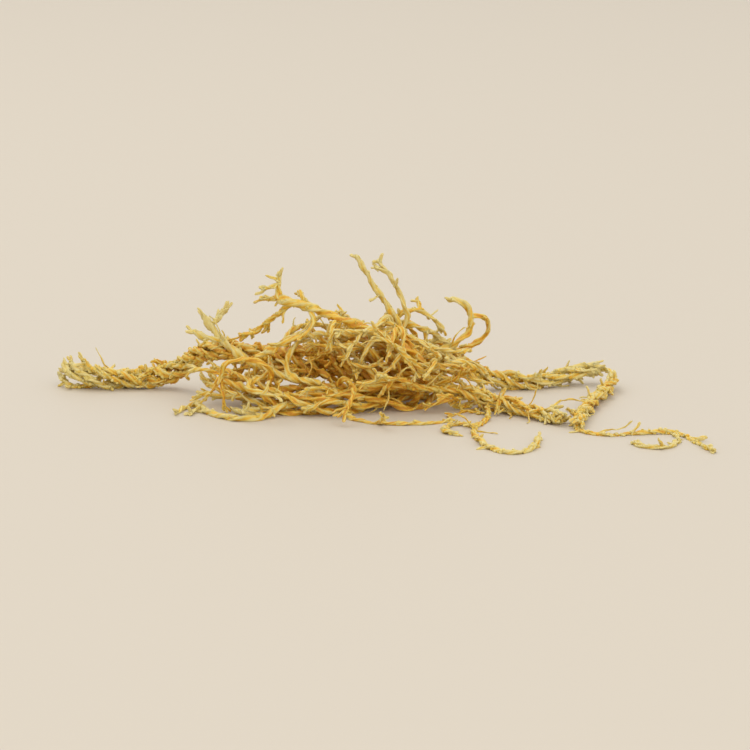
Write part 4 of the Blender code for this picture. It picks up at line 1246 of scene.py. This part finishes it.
class MOSS_OT_front(bpy.types.Operator):
    """Dress the fronds that lie on the table along the front"""

    bl_idname = "moss.front"
    bl_label = "Front fronds"

    def execute(self, context):
        for name in ("front_arc_frond", "front_loops_frond", "front_mat_frond"):
            dress(context, name)
        return {"FINISHED"}


class MOSS_OT_heap(bpy.types.Operator):
    """Dress the slack fronds that make up the heap"""

    bl_idname = "moss.heap"
    bl_label = "Heaped fronds"

    def execute(self, context):
        for name in ("low_heap_frond", "middle_heap_frond", "back_heap_frond", "upper_heap_frond"):
            dress(context, name)
        return {"FINISHED"}


def plain_material(name, colour, roughness):
    """An even finish in one colour."""
    material = bpy.data.materials.new(name)
    material.use_nodes = True
    shader = material.node_tree.nodes["Principled BSDF"]
    shader.inputs["Base Color"].default_value = (*colour, 1)
    shader.inputs["Roughness"].default_value = roughness
    return material


def soft_light(context, name, place, width, power, colour):
    """A large square light at a place, turned towards the tuft."""
    data = bpy.data.lights.new(name, "AREA")
    data.size = width
    data.energy = power
    data.color = colour
    light = bpy.data.objects.new(name, data)
    light.location = place
    light.rotation_euler = (Vector(AIM) - light.location).to_track_quat("-Z", "Y").to_euler()
    context.scene.collection.objects.link(light)


def set_table(context):
    """The pale table top."""
    bpy.ops.mesh.primitive_plane_add(size=TABLE_WIDTH, location=(0, 0, 0))
    table = context.object
    table.name = "table_top"
    colour = context.scene.moss_colours.table
    table.data.materials.append(plain_material("table", colour, TABLE_ROUGHNESS))


def set_light(context):
    """A key light from behind on the left, a broad fill light from the front, and a pale room around them."""
    soft_light(context, "key", place=(-0.3, 0.35, 0.75), width=0.5, power=1.8, colour=(1.0, 0.97, 0.93))
    soft_light(context, "fill", place=(0.35, -0.7, 0.5), width=0.8, power=2.5, colour=(1.0, 0.98, 0.95))
    world = bpy.data.worlds.new("pale room")
    world.use_nodes = True
    background = world.node_tree.nodes["Background"]
    background.inputs["Color"].default_value = (0.96, 0.94, 0.91, 1)
    background.inputs["Strength"].default_value = 0.96
    context.scene.world = world
    context.scene.view_settings.view_transform = "Standard"


def set_camera(context):
    """The camera in front of the tuft, turned towards it."""
    data = bpy.data.cameras.new("camera")
    data.lens = CAMERA_LENS
    data.clip_start = 0.01
    camera = bpy.data.objects.new("camera", data)
    back = CAMERA_DISTANCE * math.cos(CAMERA_ELEVATION)
    camera.location = (0, -back, AIM[2] + CAMERA_DISTANCE * math.sin(CAMERA_ELEVATION))
    camera.rotation_euler = (Vector(AIM) - camera.location).to_track_quat("-Z", "Y").to_euler()
    context.scene.collection.objects.link(camera)
    context.scene.camera = camera


class MOSS_OT_stage(bpy.types.Operator):
    """Set the pale table, the soft lights and the camera at the photograph's angle"""

    bl_idname = "moss.stage"
    bl_label = "Table, light and camera"

    def execute(self, context):
        set_table(context)
        set_light(context)
        set_camera(context)
        return {"FINISHED"}


class MOSS_PT_panel(bpy.types.Panel):
    """The tuft's pieces, sizes and colours"""

    bl_idname = "MOSS_PT_panel"
    bl_label = "Dried Irish moss"
    bl_space_type = "VIEW_3D"
    bl_region_type = "UI"
    bl_category = "Moss"

    def draw(self, context):
        column = self.layout.column(align=True)
        for operator in (MOSS_OT_arms, MOSS_OT_sprigs, MOSS_OT_front, MOSS_OT_heap, MOSS_OT_stage):
            column.operator(operator.bl_idname)
        for group in (context.scene.moss_sizes, context.scene.moss_colours):
            column = self.layout.column(align=True)
            for key in group.bl_rna.properties.keys():
                if key not in ("rna_type", "name"):
                    column.prop(group, key)


CLASSES = (
    MossSizes,
    MossColours,
    MOSS_OT_arms,
    MOSS_OT_sprigs,
    MOSS_OT_front,
    MOSS_OT_heap,
    MOSS_OT_stage,
    MOSS_PT_panel,
)


def register():
    for cls in CLASSES:
        bpy.utils.register_class(cls)
    bpy.types.Scene.moss_sizes = bpy.props.PointerProperty(type=MossSizes)
    bpy.types.Scene.moss_colours = bpy.props.PointerProperty(type=MossColours)


def unregister():
    del bpy.types.Scene.moss_colours
    del bpy.types.Scene.moss_sizes
    for cls in reversed(CLASSES):
        bpy.utils.unregister_class(cls)


def write_sizes():
    """Brings the scene up to date."""
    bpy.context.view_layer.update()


def main():
    register()
    bpy.ops.moss.arms()
    bpy.ops.moss.sprigs()
    bpy.ops.moss.front()
    bpy.ops.moss.heap()
    bpy.ops.moss.stage()
    write_sizes()


if __name__ == "__main__":
    main()
